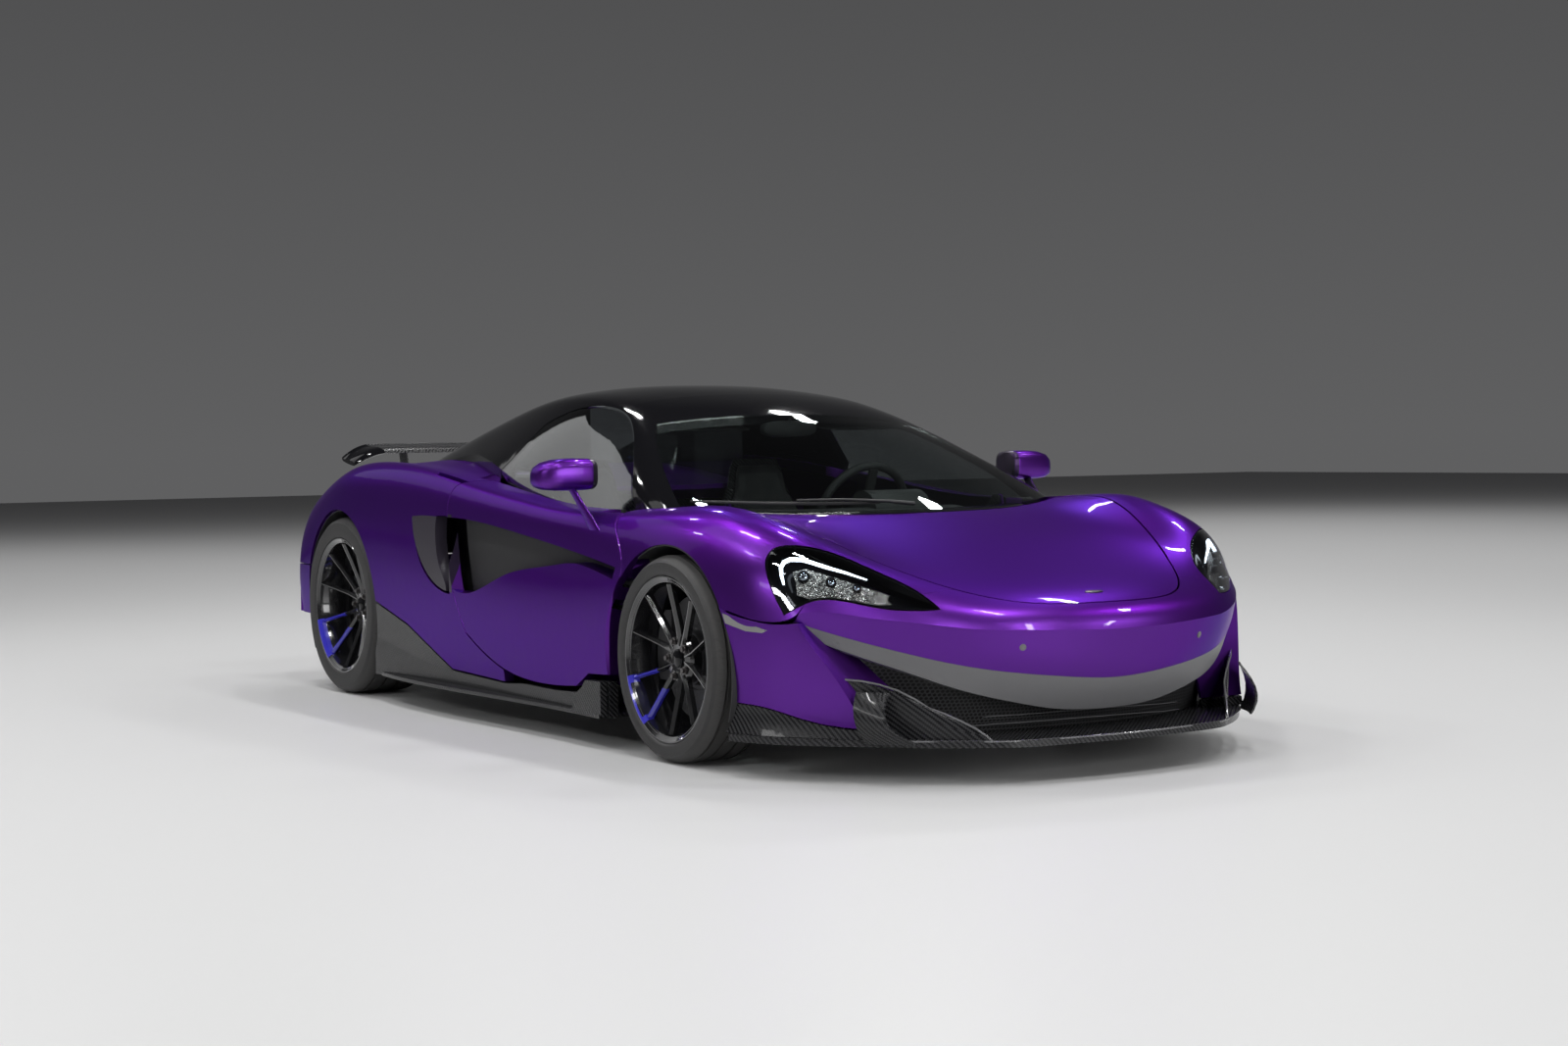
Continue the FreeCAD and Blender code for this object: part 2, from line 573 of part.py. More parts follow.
def front_panels():
    """Bonnet, front fenders, nose blade, corner cheeks and the dark nose panel."""
    skin = body_skin(SKIN)
    arm = bonnet_arm()
    node("bonnet", largest(skin.common(BONNET_TOOL).fuse([arm, mirrored(arm)])))
    above_line = side_prism([[(700, 1000), (1984, 1000)], [(1984, 522)], [(1790, 545)],
                             [(1768, 472), (1700, 462), (1620, 474), (1545, 490)], [(1545, 60)], [(700, 60)]], 20.0, WIDE)
    ahead = side_prism([[(1986, 1000), (2400, 1000)], [(2400, 200)], [(1560, 200)], [(1560, 466)],
                        [(1700, 458), (1768, 466), (1792, 541)], [(1986, 518)]], 0.0, WIDE)
    fender = skin.common(above_line).cut(BONNET_HOLE).cut(FRONT_ARCHES).cut(DOOR_HOLE).cut(LAMP_HOLES)
    fender = fender.cut(plan_prism([[(1200, 0), (1200, 690)], [(1120, 742), (1000, 760)], [(700, 770)], [(700, 0)]],
                                   BELOW, BODY_HEIGHT))
    node("front_fenders", *pair(largest(fender)))
    wall = nose_wall(SKIN)
    blade_region = curve_band(BLADE_BOTTOM, [(0, 1000), (870, 1000)], at(1500, 0, 0).x, FAR)
    ahead = ahead.fuse(mirrored(ahead))
    blade = wall.common(blade_region).common(ahead).cut(BONNET_HOLE).cut(LAMP_HOLES)
    blade = blade.common(box((1500, -838, 0), (2400, 838, 1000)))
    cheek_surface = bspline(drawn_net(CHEEK_NET))
    cheek_wall = closed(cheek_surface, 1, at(0, 560, 0).y)
    cheek_wall = cheek_wall.cut(closed(inset(cheek_surface, CHEEK_WALL), 1, at(0, 400, 0).y))
    region = side_prism([CHEEK_TOP, [(2100, 460)], [(2100, 160)], list(reversed(CHEEK_BOTTOM))[0:],
                         [(1480, 522)]], 0.0, WIDE)
    cheek = cheek_wall.common(region).cut(FRONT_ARCHES)
    low = side_prism([[(1500, 218), (1583, 214), (1680, 204), (1760, 182), (1840, 164), (1960, 156)],
                      [(2100, 156)], [(2100, 129)], [(1500, 129)]], 0.0, WIDE)
    foot = cheek_wall.common(low).cut(FRONT_ARCHES)
    grey = wall.common(curve_band(GREY_BOTTOM, [(y, z - 0.5) for y, z in BLADE_BOTTOM], at(1500, 0, 0).x, FAR))
    grey = grey.common(box((1500, -832, 0), (2400, 832, 1000))).cut(LAMP_HOLES)
    node("nose_panel", largest(grey))
    cheek = largest(cheek.cut([largest(fender), largest(blade), largest(grey)]))
    node("front_bumper", largest(blade), *pair(cheek))
    tip = [(2186, 440), (2216, 390), (2247, 210), (2262, 0), (2247, -210), (2216, -390), (2186, -440)]
    side = [(2000, 660), (1940, 716), (1850, 800), (1745, 880), (1620, 938), (SPLITTER_START, 950)]
    plate = plan_prism([tip, mirror_run(side)[::-1], [(SPLITTER_START, 950)], list(reversed(side))[1:] + [(2186, 440)]],
                       at(0, 0, SPLITTER_Z[0]).z, at(0, 0, SPLITTER_Z[1]).z)
    vane = splitter_vanes()
    vane = vane.cut(cheek)
    foot = largest(foot)
    node("splitter", largest(plate.cut(FRONT_ARCHES).fuse([foot, mirrored(foot), vane, mirrored(vane)])))


def largest(shape):
    return max(shape.Solids, key=lambda s: s.Volume)


def headlamps():
    """Lamp bowls set in the body and the clear lenses over them."""
    shallow = closed(inset(BODY, LENS + SEAT), 2, BELOW)
    bowl_back = closed(inset(BODY, LAMP_DEPTH + LAMP_WALL), 2, BELOW)
    bowl = shallow.cut(bowl_back).common(lamp_prism(0.0))
    hollow = closed(inset(BODY, LENS), 2, BELOW).cut(closed(inset(BODY, LAMP_DEPTH), 2, BELOW))
    bowl = bowl.cut(hollow.common(lamp_prism(-LAMP_WALL))).cut(BONNET_HOLE)
    node("headlamp_bowls", *pair(largest(bowl)))
    lens = body_skin(LENS).common(lamp_prism(0.0))
    node("headlamp_lenses", *pair(largest(lens)))


LAMP_DEPTH = 62.0
LAMP_WALL = 5.0
BONNET_PIVOT = at(920, 0, 775)
BONNET_ARM_Y = 546.0
ARM_WALL = 8.0
VANE_WALL = 7.0
FRAME_WALL = 30.0
COWL_WALL = 14.0
ROOF_FRONT = 170
ROOF_REAR = -336
DECK_HALF = 330


def splitter_vanes():
    """Upswept side vane that stands on the splitter."""
    rows = [
        [(2184, 442, 128), (2060, 560, 128), (1960, 650, 128), (1850, 730, 128)],
        [(2150, 470, 155), (2040, 580, 190), (1950, 665, 195), (1850, 742, 190)],
        [(2095, 515, 190), (2010, 610, 240), (1930, 690, 255), (1850, 755, 250)],
        [(2040, 560, 215), (1985, 630, 268), (1915, 705, 295), (1850, 765, 300)],
    ]
    surface = bspline(drawn_net(rows))
    outer = closed(surface, 1, at(0, 300, 0).y)
    return outer.cut(lifted(outer, y=-VANE_WALL))


def intakes():
    """Dark mesh wall behind the nose openings."""
    sheet = lifted(NOSE_SOLID, x=-75).cut(lifted(NOSE_SOLID, x=-83))
    region = curve_band([(0, 129), (870, 129)], [(y, z + 12) for y, z in GREY_BOTTOM], at(1500, 0, 0).x, FAR)
    sheet = sheet.common(region).common(box((1500, -700, 0), (2400, 700, 1000))).cut(NODES["front_bumper"])
    node("front_intakes", largest(sheet))


def greenhouse():
    """Windscreen, its frame, the roof, the rear buttresses and the side glass."""
    side_glass = side_prism(SIDE_GLASS_EDGE, 0.0, WIDE)
    side_hole = side_prism(SIDE_GLASS_EDGE, at(0, 300, 0).y, WIDE, SHUT_GAP)
    belt = [[(700, 700), (700, 781)], [(450, 800), (150, 850), (-100, 880), (-330, 960)], [(-430, 960)], [(-430, 700)]]
    belt_hole = side_prism(belt, DOOR_INNER - 30, WIDE)
    screen = plan_prism(WINDSCREEN_EDGE, BELOW, 2 * BODY_HEIGHT)
    screen_hole = plan_prism(WINDSCREEN_EDGE, BELOW, 2 * BODY_HEIGHT, SEAT)
    glass = cabin_skin(GLASS)
    node("windscreen", largest(glass.common(screen).cut(BODY_UP)))
    holes = side_hole.fuse([mirrored(side_hole), belt_hole, mirrored(belt_hole)])
    shell = cabin_skin(FRAME_WALL).cut(holes).cut(BODY_UP)
    front = shell.common(box((ROOF_FRONT, -1000, 0), (1400, 1000, 2000))).cut(screen_hole)
    node("windscreen_frame", largest(front), cowl())
    middle = shell.common(box((ROOF_REAR, -1000, 0), (ROOF_FRONT - SEAT, 1000, 2000)))
    node("roof", largest(middle))
    rear = shell.common(box((-1600, -1000, 0), (ROOF_REAR - SEAT, 1000, 2000)))
    rear = rear.cut(box((-1700, -DECK_HALF, 700), (-450, DECK_HALF, 1400)))
    side = CABIN_SOLID.common(box((-1600, DECK_HALF - 1, 700), (-450, DECK_HALF + 10, 1400))).cut(BODY_UP)
    node("buttresses", largest(rear.fuse([side, mirrored(side)])))
    glass_left = largest(glass.common(side_glass).cut(BODY_UP))
    node("door_glass_left", glass_left)
    node("door_glass_right", mirrored(glass_left))
    window = box((-448, 1 - DECK_HALF, 700), (-442, DECK_HALF - 1, 1400))
    window = window.common(closed(inset(CABIN, FRAME_WALL + SEAT), 2, at(0, 0, 600).z)).cut(BODY_UP)
    node("rear_window", largest(window))


def cowl():
    """Dark strip between the bonnet's rear edge and the windscreen."""
    rear = [(1095, 0), (1082, 230), (1040, 430), (985, 600), (940, 700)]
    front = [(990, 712), (1050, 625), (1108, 430), (1148, 230), (1154, 0)]
    outline = plan_prism(full_outline([rear, front]), BELOW, BODY_HEIGHT)
    slot = box((900, BONNET_ARM_Y - 5.5, 600), (1200, BONNET_ARM_Y + 13.5, 900))
    return largest(body_skin(COWL_WALL).common(outline).cut([slot, mirrored(slot)]))


def bonnet_arm():
    """Swan neck under the bonnet that reaches back to its pivot below the windscreen."""
    y = at(0, BONNET_ARM_Y, 0).y
    neck = side_prism([[(908, 775), (916, 765)], [(936, 700), (966, 644), (1030, 634)], [(1110, 654)], [(1190, 684)], [(1190, 722)],
                       [(1112, 732)], [(1050, 676), (1000, 654), (966, 676)], [(932, 786)], [(908, 775)]], y, y + ARM_WALL)
    eye = drum(BONNET_PIN_RADIUS + 8, y, y + ARM_WALL, BONNET_PIVOT.x, BONNET_PIVOT.z)
    bore = drum(BONNET_PIN_RADIUS + RUNNING, y - 5, y + ARM_WALL + 5, BONNET_PIVOT.x, BONNET_PIVOT.z)
    return neck.fuse(eye).cut(bore)


def bonnet_bracket():
    """Plate on the tub's front bulkhead that carries the bonnet's pin."""
    y = at(0, BONNET_ARM_Y, 0).y
    plate = side_prism([[(810, 655), (810, 700)], [(903, 788)], [(934, 788)], [(934, 766)], [(858, 655)]], y - 12, y - 4)
    pin = drum(BONNET_PIN_RADIUS, y - 6, y + ARM_WALL - 1, BONNET_PIVOT.x, BONNET_PIVOT.z)
    return plate.fuse(pin)


SCOOP_EDGE = [
    [(-470, 725), (-300, 723), (93, 690), (483, 644), (700, 616), (880, 592)],
    [(862, 552)],
    [(700, 581), (562, 593), (425, 581), (48, 532), (-364, 467), (-460, 520)],
]
SCOOP_FLOOR = 872.0
SCOOP_LINING = 6.0
HINGE_ROOM_Y = 868.0
HINGE_LOW = (794, 975, 250)
HINGE_HIGH = (744, 830, 850)
HINGE_ARMS = (0.36, 0.47)
HINGE_POST = (750, 815)
HINGE_POST_Y = 750.0


def on_hinge(shape, share):
    """Stand a shape on the door's leaned hinge axis, at a share of the way up."""
    low, high = at(*HINGE_LOW), at(*HINGE_HIGH)
    moved = shape.copy()
    moved.Placement = Placement(low + (high - low) * share, Rotation(Vector(0, 0, 1), high - low))
    return moved


def hinge_pin(radius):
    low, high = at(*HINGE_LOW), at(*HINGE_HIGH)
    length = (high - low).Length * (HINGE_ARMS[1] - HINGE_ARMS[0])
    return on_hinge(Part.makeCylinder(radius, length), HINGE_ARMS[0])


def door_hinge():
    """Hinge post of the tub with its two arms and the pin that the door hangs on."""
    inner_x, outer_x = HINGE_POST
    post = box((inner_x, 636, 149), (outer_x, HINGE_POST_Y, 520))
    arms = []
    for share in HINGE_ARMS:
        arm = Part.makeBox(2 * HINGE_ARM_HALF, 175, 18, Vector(-HINGE_ARM_HALF, -175, -9))
        arms.append(on_hinge(arm.fuse(Part.makeCylinder(HINGE_ARM_HALF, 18, Vector(0, 0, -9))), share))
    return post.fuse(arms).fuse(hinge_pin(HINGE_PIN_RADIUS))


def hinge_room():
    """What the door gives up for the hinge arms as it swings, and for the pin."""
    rooms = [hinge_pin(HINGE_PIN_RADIUS + RUNNING)]
    for share in HINGE_ARMS:
        room = Part.makeBox(200, 220, 30, Vector(-HINGE_ARM_HALF - 5, HINGE_ARM_HALF + 5 - 220, -15))
        rooms.append(on_hinge(room, share))
    return rooms


def doors():
    """Doors with their scoop channel, and the dark lining of the channel."""
    floor_y = at(0, SCOOP_FLOOR, 0).y
    panel = BODY_SOLID.common(DOOR_TOOL).cut(side_prism(SCOOP_EDGE, floor_y, WIDE))
    swing_room = [box((690, 700, 690), (1000, 832, 900)), box((640, 700, 100), (1100, HINGE_ROOM_Y, 900))]
    panel = largest(panel.cut(swing_room + hinge_room()).cut(arch_cut(True, DOOR_GAP)))
    lining = side_prism(SCOOP_EDGE, floor_y + SEAT, floor_y + SCOOP_LINING, -1.0).common(DOOR_TOOL)
    lining = lining.cut(arch_cut(True, DOOR_GAP)).cut(hinge_room())
    node("door_left", panel)
    node("door_right", mirrored(panel))
    node("door_channel_left", lining)
    node("door_channel_right", mirrored(lining))


INTAKE_EDGE = [
    [(-400, 729), (-560, 724), (-690, 700)],
    [(-680, 600), (-600, 510), (-400, 448)],
]
BLADE_EDGE = [
    [(-510, 726), (-640, 728), (-723, 724)],
    [(-708, 660), (-615, 536), (-430, 458)],
    [(-430, 472), (-470, 530), (-512, 630), (-510, 726)],
]
BLADE_WALL = 46.0
QUARTER_WALL = 36.0
SHOULDER_DEPTH = 24.0
SKIRT_WALL = 30.0


def rear_quarters():
    """Rear quarter panels round the rear arches, with the side intake mouth and its blade."""
    region = side_prism([[(0, 1200), (-2058, 1200)], [(-2058, 506)], [(-1780, 506)], [(-1073, 385)], [(-812, 318)],
                         [(-445, 172)], [(0, 160)]], at(0, 560, 0).y, WIDE)
    inner = plan_prism([[(200, 0), (200, 800)], [(-434, 800)], [(-434, 715)], [(-700, 650)], [(-1100, 606), (-1478, 596), (-1990, 580)],
                        [(-2300, 575)], [(-2300, 0)]], BELOW, 2 * BODY_HEIGHT)
    mouth = side_prism(INTAKE_EDGE, at(0, 700, 0).y, WIDE)
    slot = side_prism(BLADE_EDGE, at(0, 860, 0).y, WIDE)
    quarter = body_skin(QUARTER_WALL).common(region).cut(inner).cut(REAR_ARCHES).cut(DOOR_HOLE).cut(mouth).cut(slot)
    shoulder = plan_prism([[(-160, 880), (-390, 866), (-640, 864)], [(-640, 884)], [(-390, 888), (-160, 886)]], at(0, 0, 780).z,
                          at(0, 0, 1000).z)
    quarter = quarter.cut(body_skin(SHOULDER_DEPTH).common(shoulder))
    node("rear_quarters", *pair(largest(quarter)))
    blade = body_skin(BLADE_WALL).common(side_prism(BLADE_EDGE, at(0, 860, 0).y, WIDE, -SEAT))
    node("intake_blades", *pair(largest(blade.cut(DOOR_HOLE))))
    duct = side_prism([[(-426, 740), (-710, 740)], [(-710, 440)], [(-426, 440)]], SILL_OUTER + SEAT, SILL_OUTER + 6)
    node("intake_ducts", *pair(largest(duct.cut(DOOR_HOLE))))


TAIL_WALL = 30.0
DECK_WALL = 18.0
EXHAUST_PITCH = 190.0
EXHAUST_X = -2010
GEARBOX_TOP = 470
DIFFUSER_FINS = 7
FIN_PITCH = 170.0


def tail():
    """Deck, tail mesh, lamps, bumper, diffuser, wing and exhaust outlets."""
    deck_edge = [(-2140, 548), (-2182, 430), (-2214, 220), (-2222, 0), (-2214, -220), (-2182, -430), (-2140, -548)]
    outline = [[(-440, 1 - DECK_HALF), (-440, DECK_HALF - 1)], [(-1290, DECK_HALF - 1)], [(-1290, 590)], [(-1478, 593), (-1990, 577)],
               [deck_edge[0]], deck_edge[1:], [(-1990, -577)], [(-1478, -593), (-1290, -590)], [(-1290, 1 - DECK_HALF)]]
    deck = body_skin(DECK_WALL).common(plan_prism(outline, BELOW, 2 * BODY_HEIGHT))
    deck = deck.common(box((-2300, -700, 760), (-400, 700, 1000)))
    pipes = []
    for y in (-EXHAUST_PITCH / 2, EXHAUST_PITCH / 2):
        deck = deck.cut(exhaust_rod(y, EXHAUST_RADIUS + 8, 0))
        pipes.append(exhaust_rod(y, EXHAUST_RADIUS, 0).cut(exhaust_rod(y, EXHAUST_RADIUS - PIPE_WALL, 60)))
    node("rear_deck", largest(deck))
    silencer = lifted(box((-2050, -180, GEARBOX_TOP), (-1600, 180, 655)), z=SEAT)
    node("exhausts", silencer.fuse(pipes))
    inside = closed(inset(BODY, QUARTER_WALL + SEAT), 2, BELOW)
    mesh = lifted(BODY_SOLID, x=46).cut(lifted(BODY_SOLID, x=58)).common(inside)
    mesh = mesh.common(box((-2300, -850, 512), (-1900, 850, 850)))
    node("tail_mesh", largest(mesh))
    lamp = lifted(BODY_SOLID, x=14).cut(lifted(BODY_SOLID, x=45)).common(inside).common(lamp_strip())
    node("tail_lamps", *pair(largest(lamp)))
    inner = lifted(BODY_SOLID, x=TAIL_WALL).common(closed(inset(BODY, TAIL_WALL), 2, BELOW))
    band = side_prism([[(-1780, 500), (-2400, 500)], [(-2400, 330)], [(-1990, 300), (-1780, 300)]], -WIDE, WIDE)
    bumper = BODY_SOLID.cut(inner).common(band).cut(REAR_ARCHES)
    step = side_prism([[(-1780, 499), (-2400, 499)], [(-2400, 506 - SEAT)], [(-1780, 506 - SEAT)]], -WIDE, WIDE)
    step = closed(inset(BODY, SEAM_DEPTH), 2, BELOW).common(lifted(BODY_SOLID, x=SEAM_DEPTH)).cut(inner).common(step)
    bumper = largest(bumper).fuse([largest(step.cut(REAR_ARCHES)), plate_pad(), tow_boss()])
    node("rear_bumper", largest(bumper.cut(bumper_holes())))
    node("diffuser", diffuser())
    node("rear_wing", wing())


SEAM_DEPTH = 16.0
PLATE_X = -2240
PLATE_Z = 424
TOW_AT = (-2165, 520, 410)


def plate_pad():
    """Flat plinth for the number plate."""
    return box((PLATE_X, -265, 366), (-2205, 265, 482))


def tow_boss():
    """Boss behind the bumper's skin for the towing eye."""
    foot = at(*TOW_AT)
    return Part.makeCylinder(TOW_THREAD_RADIUS + 10, TOW_THREAD_DEPTH, foot, Vector(1, 0, 0)).common(BODY_SOLID)


def bumper_holes():
    foot = at(*TOW_AT)
    holes = [Part.makeCylinder(TOW_THREAD_RADIUS, TOW_THREAD_DEPTH + 34, foot - Vector(40, 0, 0), Vector(1, 0, 0))]
    for y in (-PLATE_HOLE_PITCH / 2, PLATE_HOLE_PITCH / 2):
        holes.append(Part.makeCylinder(PLATE_HOLE_RADIUS, 80, at(PLATE_X - 10, y, PLATE_Z), Vector(1, 0, 0)))
    return holes


def exhaust_rod(y, radius, start):
    """Rod along one upswept outlet's way, begun a length up from its foot."""
    base = at(EXHAUST_X, 0, 640)
    way = Vector(-0.35, 0, 0.94)
    return Part.makeCylinder(radius, 290, Vector(base.x, y, base.z) + way * start, way)


def lamp_strip():
    """Hooked light strip along the tail mesh's outer top edge."""
    outline = [[(420, 826), (540, 802), (630, 752)], [(700, 700), (768, 640), (812, 570)], [(790, 570)],
               [(745, 632), (684, 684)], [(618, 732), (530, 780), (420, 806)]]
    return front_prism(outline, at(-2400, 0, 0).x, at(-1900, 0, 0).x)


def diffuser():
    """Under-tail diffuser with upright fins."""
    ramp = side_prism([[(DIFFUSER_START, 112), (DIFFUSER_START, 150)], [(-2000, 165), (-2180, 240), (-2300, 330)], [(-2316, 330)],
                       [(-2316, 304)], [(-2190, 222), (-2010, 140), (DIFFUSER_START, 112)]], at(0, -620, 0).y, at(0, 620, 0).y)
    fins = []
    for k in range(DIFFUSER_FINS):
        y = (k - (DIFFUSER_FINS - 1) / 2) * FIN_PITCH
        fins.append(side_prism([[(-1900, 112), (-1990, 145)], [(-2310, 310)], [(-2296, 190)], [(-2150, 140), (-1900, 112)]],
                               y - 4, y + 4))
    tail_edge = [(-2200, 620), (-2272, 330), (-2300, 0), (-2272, -330), (-2200, -620)]
    outline = plan_prism([[(DIFFUSER_START, -620), (DIFFUSER_START, 620)], [tail_edge[0]], tail_edge[1:]], BELOW, BODY_HEIGHT)
    return ramp.fuse(fins).common(outline)


def wing():
    """Fixed rear wing with down-turned tips on two uprights."""
    under = [(-2280, 972), (-2220, 960), (-2160, 950), (-2120, 952)]
    over = [(-2120, 952), (-2150, 975), (-2220, 984), (-2300, 990), (-2340, 1000)]
    plane = side_prism([over, [(-2338, 992)], under], at(0, -560, 0).y, at(0, 560, 0).y)
    tip = side_prism([[(-2120, 905), (-2120, 952)], over[1:], [(-2335, 930)], [(-2240, 890), (-2120, 905)]],
                     at(0, 559, 0).y, at(0, 574, 0).y)
    stay = side_prism([[(-2090, 858), (-2135, 952)], [(-2210, 964)], [(-2170, 840)]], at(0, 350, 0).y, at(0, 362, 0).y)
    stay = stay.cut(BODY_UP)
    return plane.fuse([tip, mirrored(tip), stay, mirrored(stay)])


TUB_REAR = -760
TUB_FRONT = 860
TUB_FLOOR = 118.0
TUB_DECK = 150.0
BULKHEAD = 800


def tub():
    """Load-bearing tub: floor, sills and the bulkheads ahead of and behind the cabin."""
    floor = box((TUB_REAR, -640, TUB_FLOOR), (TUB_FRONT, 640, TUB_DECK))
    sill = side_prism([[(-760, 118), (-760, 520)], [(-640, 500), (-520, 380), (-400, 330)], [(600, 330)],
                       [(700, 420), (760, 520)], [(765, 118)]], SILL_INNER, SILL_OUTER)
    rear = box((TUB_REAR, -640, 149), (-700, 640, 760))
    front = box((BULKHEAD, -640, 149), (TUB_FRONT, 640, 660))
    hinge, bracket = door_hinge(), bonnet_bracket()
    whole = floor.fuse([sill, mirrored(sill), rear, front, hinge, mirrored(hinge), bracket, mirrored(bracket)])
    node("tub", largest(whole.cut(FRONT_ARCHES).cut(REAR_ARCHES)))


HUB_OPENING = 215.0
BAY_HALF = 455.0
FLOOR_HALF = 760.0
DIFFUSER_START = -1864


def underbody():
    """Flat underfloor, side skirts, arch liners, luggage tub and engine mass."""
    plate = box((DIFFUSER_START + SEAT, -FLOOR_HALF, 108), (SPLITTER_START - SEAT, FLOOR_HALF, TUB_FLOOR - SEAT))
    node("underfloor", plate.cut(FRONT_ARCHES).cut(REAR_ARCHES))
    line = [[(-1130, 104), (-1130, 378)], [(-1073, 378)], [(-812, 311)], [(-445, 165)], [(0, 153)], [(150, 164)], [(400, 162)],
            [(560, 168)], [(660, 217)], [(806, 222)], [(806, 104)]]
    skirt = body_skin(SKIRT_WALL).common(side_prism(line, at(0, 700, 0).y, WIDE))
    root_y = FLOOR_HALF + SEAT
    lip = plan_prism([[(-1060, root_y), (-1060, 935)], [(-900, 955), (0, 962), (790, 965)], [(790, root_y)]],
                     at(0, 0, 103).z, at(0, 0, 116).z)
    fin = side_prism([[(585, 110), (690, 220)], [(796, 222)], [(796, 110)]], at(0, 938, 0).y, at(0, 962, 0).y)
    skirt = largest(skirt).fuse([lip, fin]).cut(FRONT_ARCHES).cut(REAR_ARCHES)
    node("side_skirts", *pair(largest(skirt)))
    front = liner(FRONT_AXLE_X, FRONT_ARCH_Z, FRONT_ARCH_R, WHEELHOUSE_FRONT_INNER, at(0, 934, 0).y)
    front = front.cut(box((700, 770, 0), (1010, 1000, 800)))
    rear = liner(REAR_AXLE_X, REAR_TYRE_RADIUS, REAR_ARCH_R, WHEELHOUSE_REAR_INNER, at(0, 914, 0).y)
    node("arch_liners", *pair(front), *pair(rear))
    bay = box((1180, -BAY_HALF, 250), (1900, BAY_HALF, 800)).common(closed(inset(BODY, SKIN + 12), 2, BELOW))
    hollow = box((1186, 6 - BAY_HALF, 256), (1894, BAY_HALF - 6, 900))
    node("luggage_tub", largest(bay.cut(hollow)))
    block = box((-1230, -300, 200), (TUB_REAR - SEAT, 300, 620)).fuse(box((-1700, -170, 230), (-1230, 170, GEARBOX_TOP)))
    node("engine", block)


def liner(x, z, radius, inner, outer):
    """Inner fender bowl over one wheel, open below and at the hub."""
    ring = drum(radius - SEAT, inner + SEAT, outer, x, z)
    ring = ring.cut(drum(radius - SEAT - LINER_WALL, inner + SEAT + LINER_WALL, WIDE, x, z))
    ring = ring.cut(drum(HUB_OPENING, inner - 5, inner + 20, x, z))
    return largest(ring.common(Part.makeBox(900, WIDE, 900, Vector(x - 450, 0, at(0, 0, 160).z))))


def cabin():
    """Dashboard, seats and centre tunnel inside the cabin."""
    dash_front = BULKHEAD - SEAT
    dash = side_prism([[(dash_front, 420), (dash_front, 700)], [(600, 738), (480, 735), (430, 700)], [(440, 600)], [(560, 430)]],
                      at(0, -630, 0).y, at(0, 630, 0).y)
    cluster = side_prism([[(600, 700), (560, 790), (480, 800), (440, 760)], [(430, 690)]], at(0, 250, 0).y, at(0, 490, 0).y)
    column = on_column(Part.makeCylinder(24, 120, Vector(0, 0, -34 - SEAT - 120)))
    node("dashboard", dash.fuse([cluster, column]))
    base = TUB_DECK + SEAT
    tunnel = side_prism([[(420, base), (420, 420)], [(300, 400), (0, 330), (-400, 340)], [(-690, 400)], [(-690, base)]],
                        at(0, -110, 0).y, at(0, 110, 0).y)
    node("centre_tunnel", tunnel)
    cushion = side_prism([[(290, base), (320, 290)], [(190, 310), (-20, 264), (-130, 250)], [(-215, 254)],
                          [(-350, 690), (-392, 880)], [(-406, 930), (-430, 895)], [(-418, 600), (-330, 240), (-270, base)]],
                         at(0, 150, 0).y, at(0, 600, 0).y)
    node("seats", *pair(cushion))


def revolved(points):
    """Ring turned about a crosswise axis through the origin, from (radius, y) points."""
    profile = [Vector(r, y, 0) for r, y in points]
    return Part.Face(Part.makePolygon(profile + [profile[0]])).revolve(Vector(0, 0, 0), Vector(0, 1, 0), 360)


FLANGE_HEIGHT = 17.0
FLANGE_WALL = 8.0
RIM_DROP = 13.0
SPOKE_SPREAD = 15.0
SPOKE_FOOT_SPREAD = 7.0
HUB_DEPTH = 45.0
DISC_BACK = 92.0
KINGPIN_Y = 775.0
KINGPIN_RADIUS = 14.0
STEER_PLAY = 0.5
ARM_LOW = 190.0
ARM_HIGH = 455.0
WHEEL_FACE_FRONT = 52.0
WHEEL_FACE_REAR = 40.0
CALIPER_GAP = 6.0


def tyre(radius, width, bead):
    """Hollow tyre about the origin."""
    half = width / 2
    seat = half - FLANGE_WALL - 8.0 - SEAT
    outer = [(bead + SEAT, seat), (bead + FLANGE_HEIGHT + 1, seat), (bead + 27, half - 3), (bead + 44, half), (radius - 24, half - 4),
             (radius - 5, half - 16), (radius, half - 36)]
    inner = [(radius - 12, half - 30), (bead + 44, half - 12), (bead + 20, seat - 14)]
    inner = [(bead + SEAT, seat - 14)] + inner[::-1]
    ring = outer + [(r, -y) for r, y in reversed(outer)] + [(r, -y) for r, y in inner] + list(reversed(inner))
    return revolved(ring)


def rim(width, bead, face_y):
    """Barrel with its hub and forked spokes about the origin, outer side towards +Y."""
    lip = width / 2 - 8.0
    seat = lip - FLANGE_WALL
    flange = bead + FLANGE_HEIGHT
    drop = bead - RIM_DROP
    bore = drop - RIM_WALL
    barrel = revolved([(flange, lip), (flange, seat), (bead, seat), (bead, seat - 32), (drop, seat - 60), (drop, 60 - seat),
                       (bead, 26 - seat), (bead, -seat), (flange, -seat), (flange, -lip), (bead - 8, -lip), (bore, 44 - lip),
                       (bore, lip - 74), (bead - 9, lip - 36), (bead - 9, lip - 12), (flange - 6, lip)])
    hub = revolved([(AXLE_BORE + 0.08, face_y - HUB_DEPTH), (HUB_RADIUS, face_y - HUB_DEPTH), (HUB_RADIUS, face_y - 8),
                    (HUB_RADIUS - 12, face_y), (AXLE_BORE + 0.08, face_y)])
    arms = []
    for k in range(SPOKE_PAIRS):
        for swing in (-1, 1):
            arms.append(spoke(bead, lip, face_y, k * 360.0 / SPOKE_PAIRS + 90.0, swing))
    return barrel.fuse([hub] + arms)


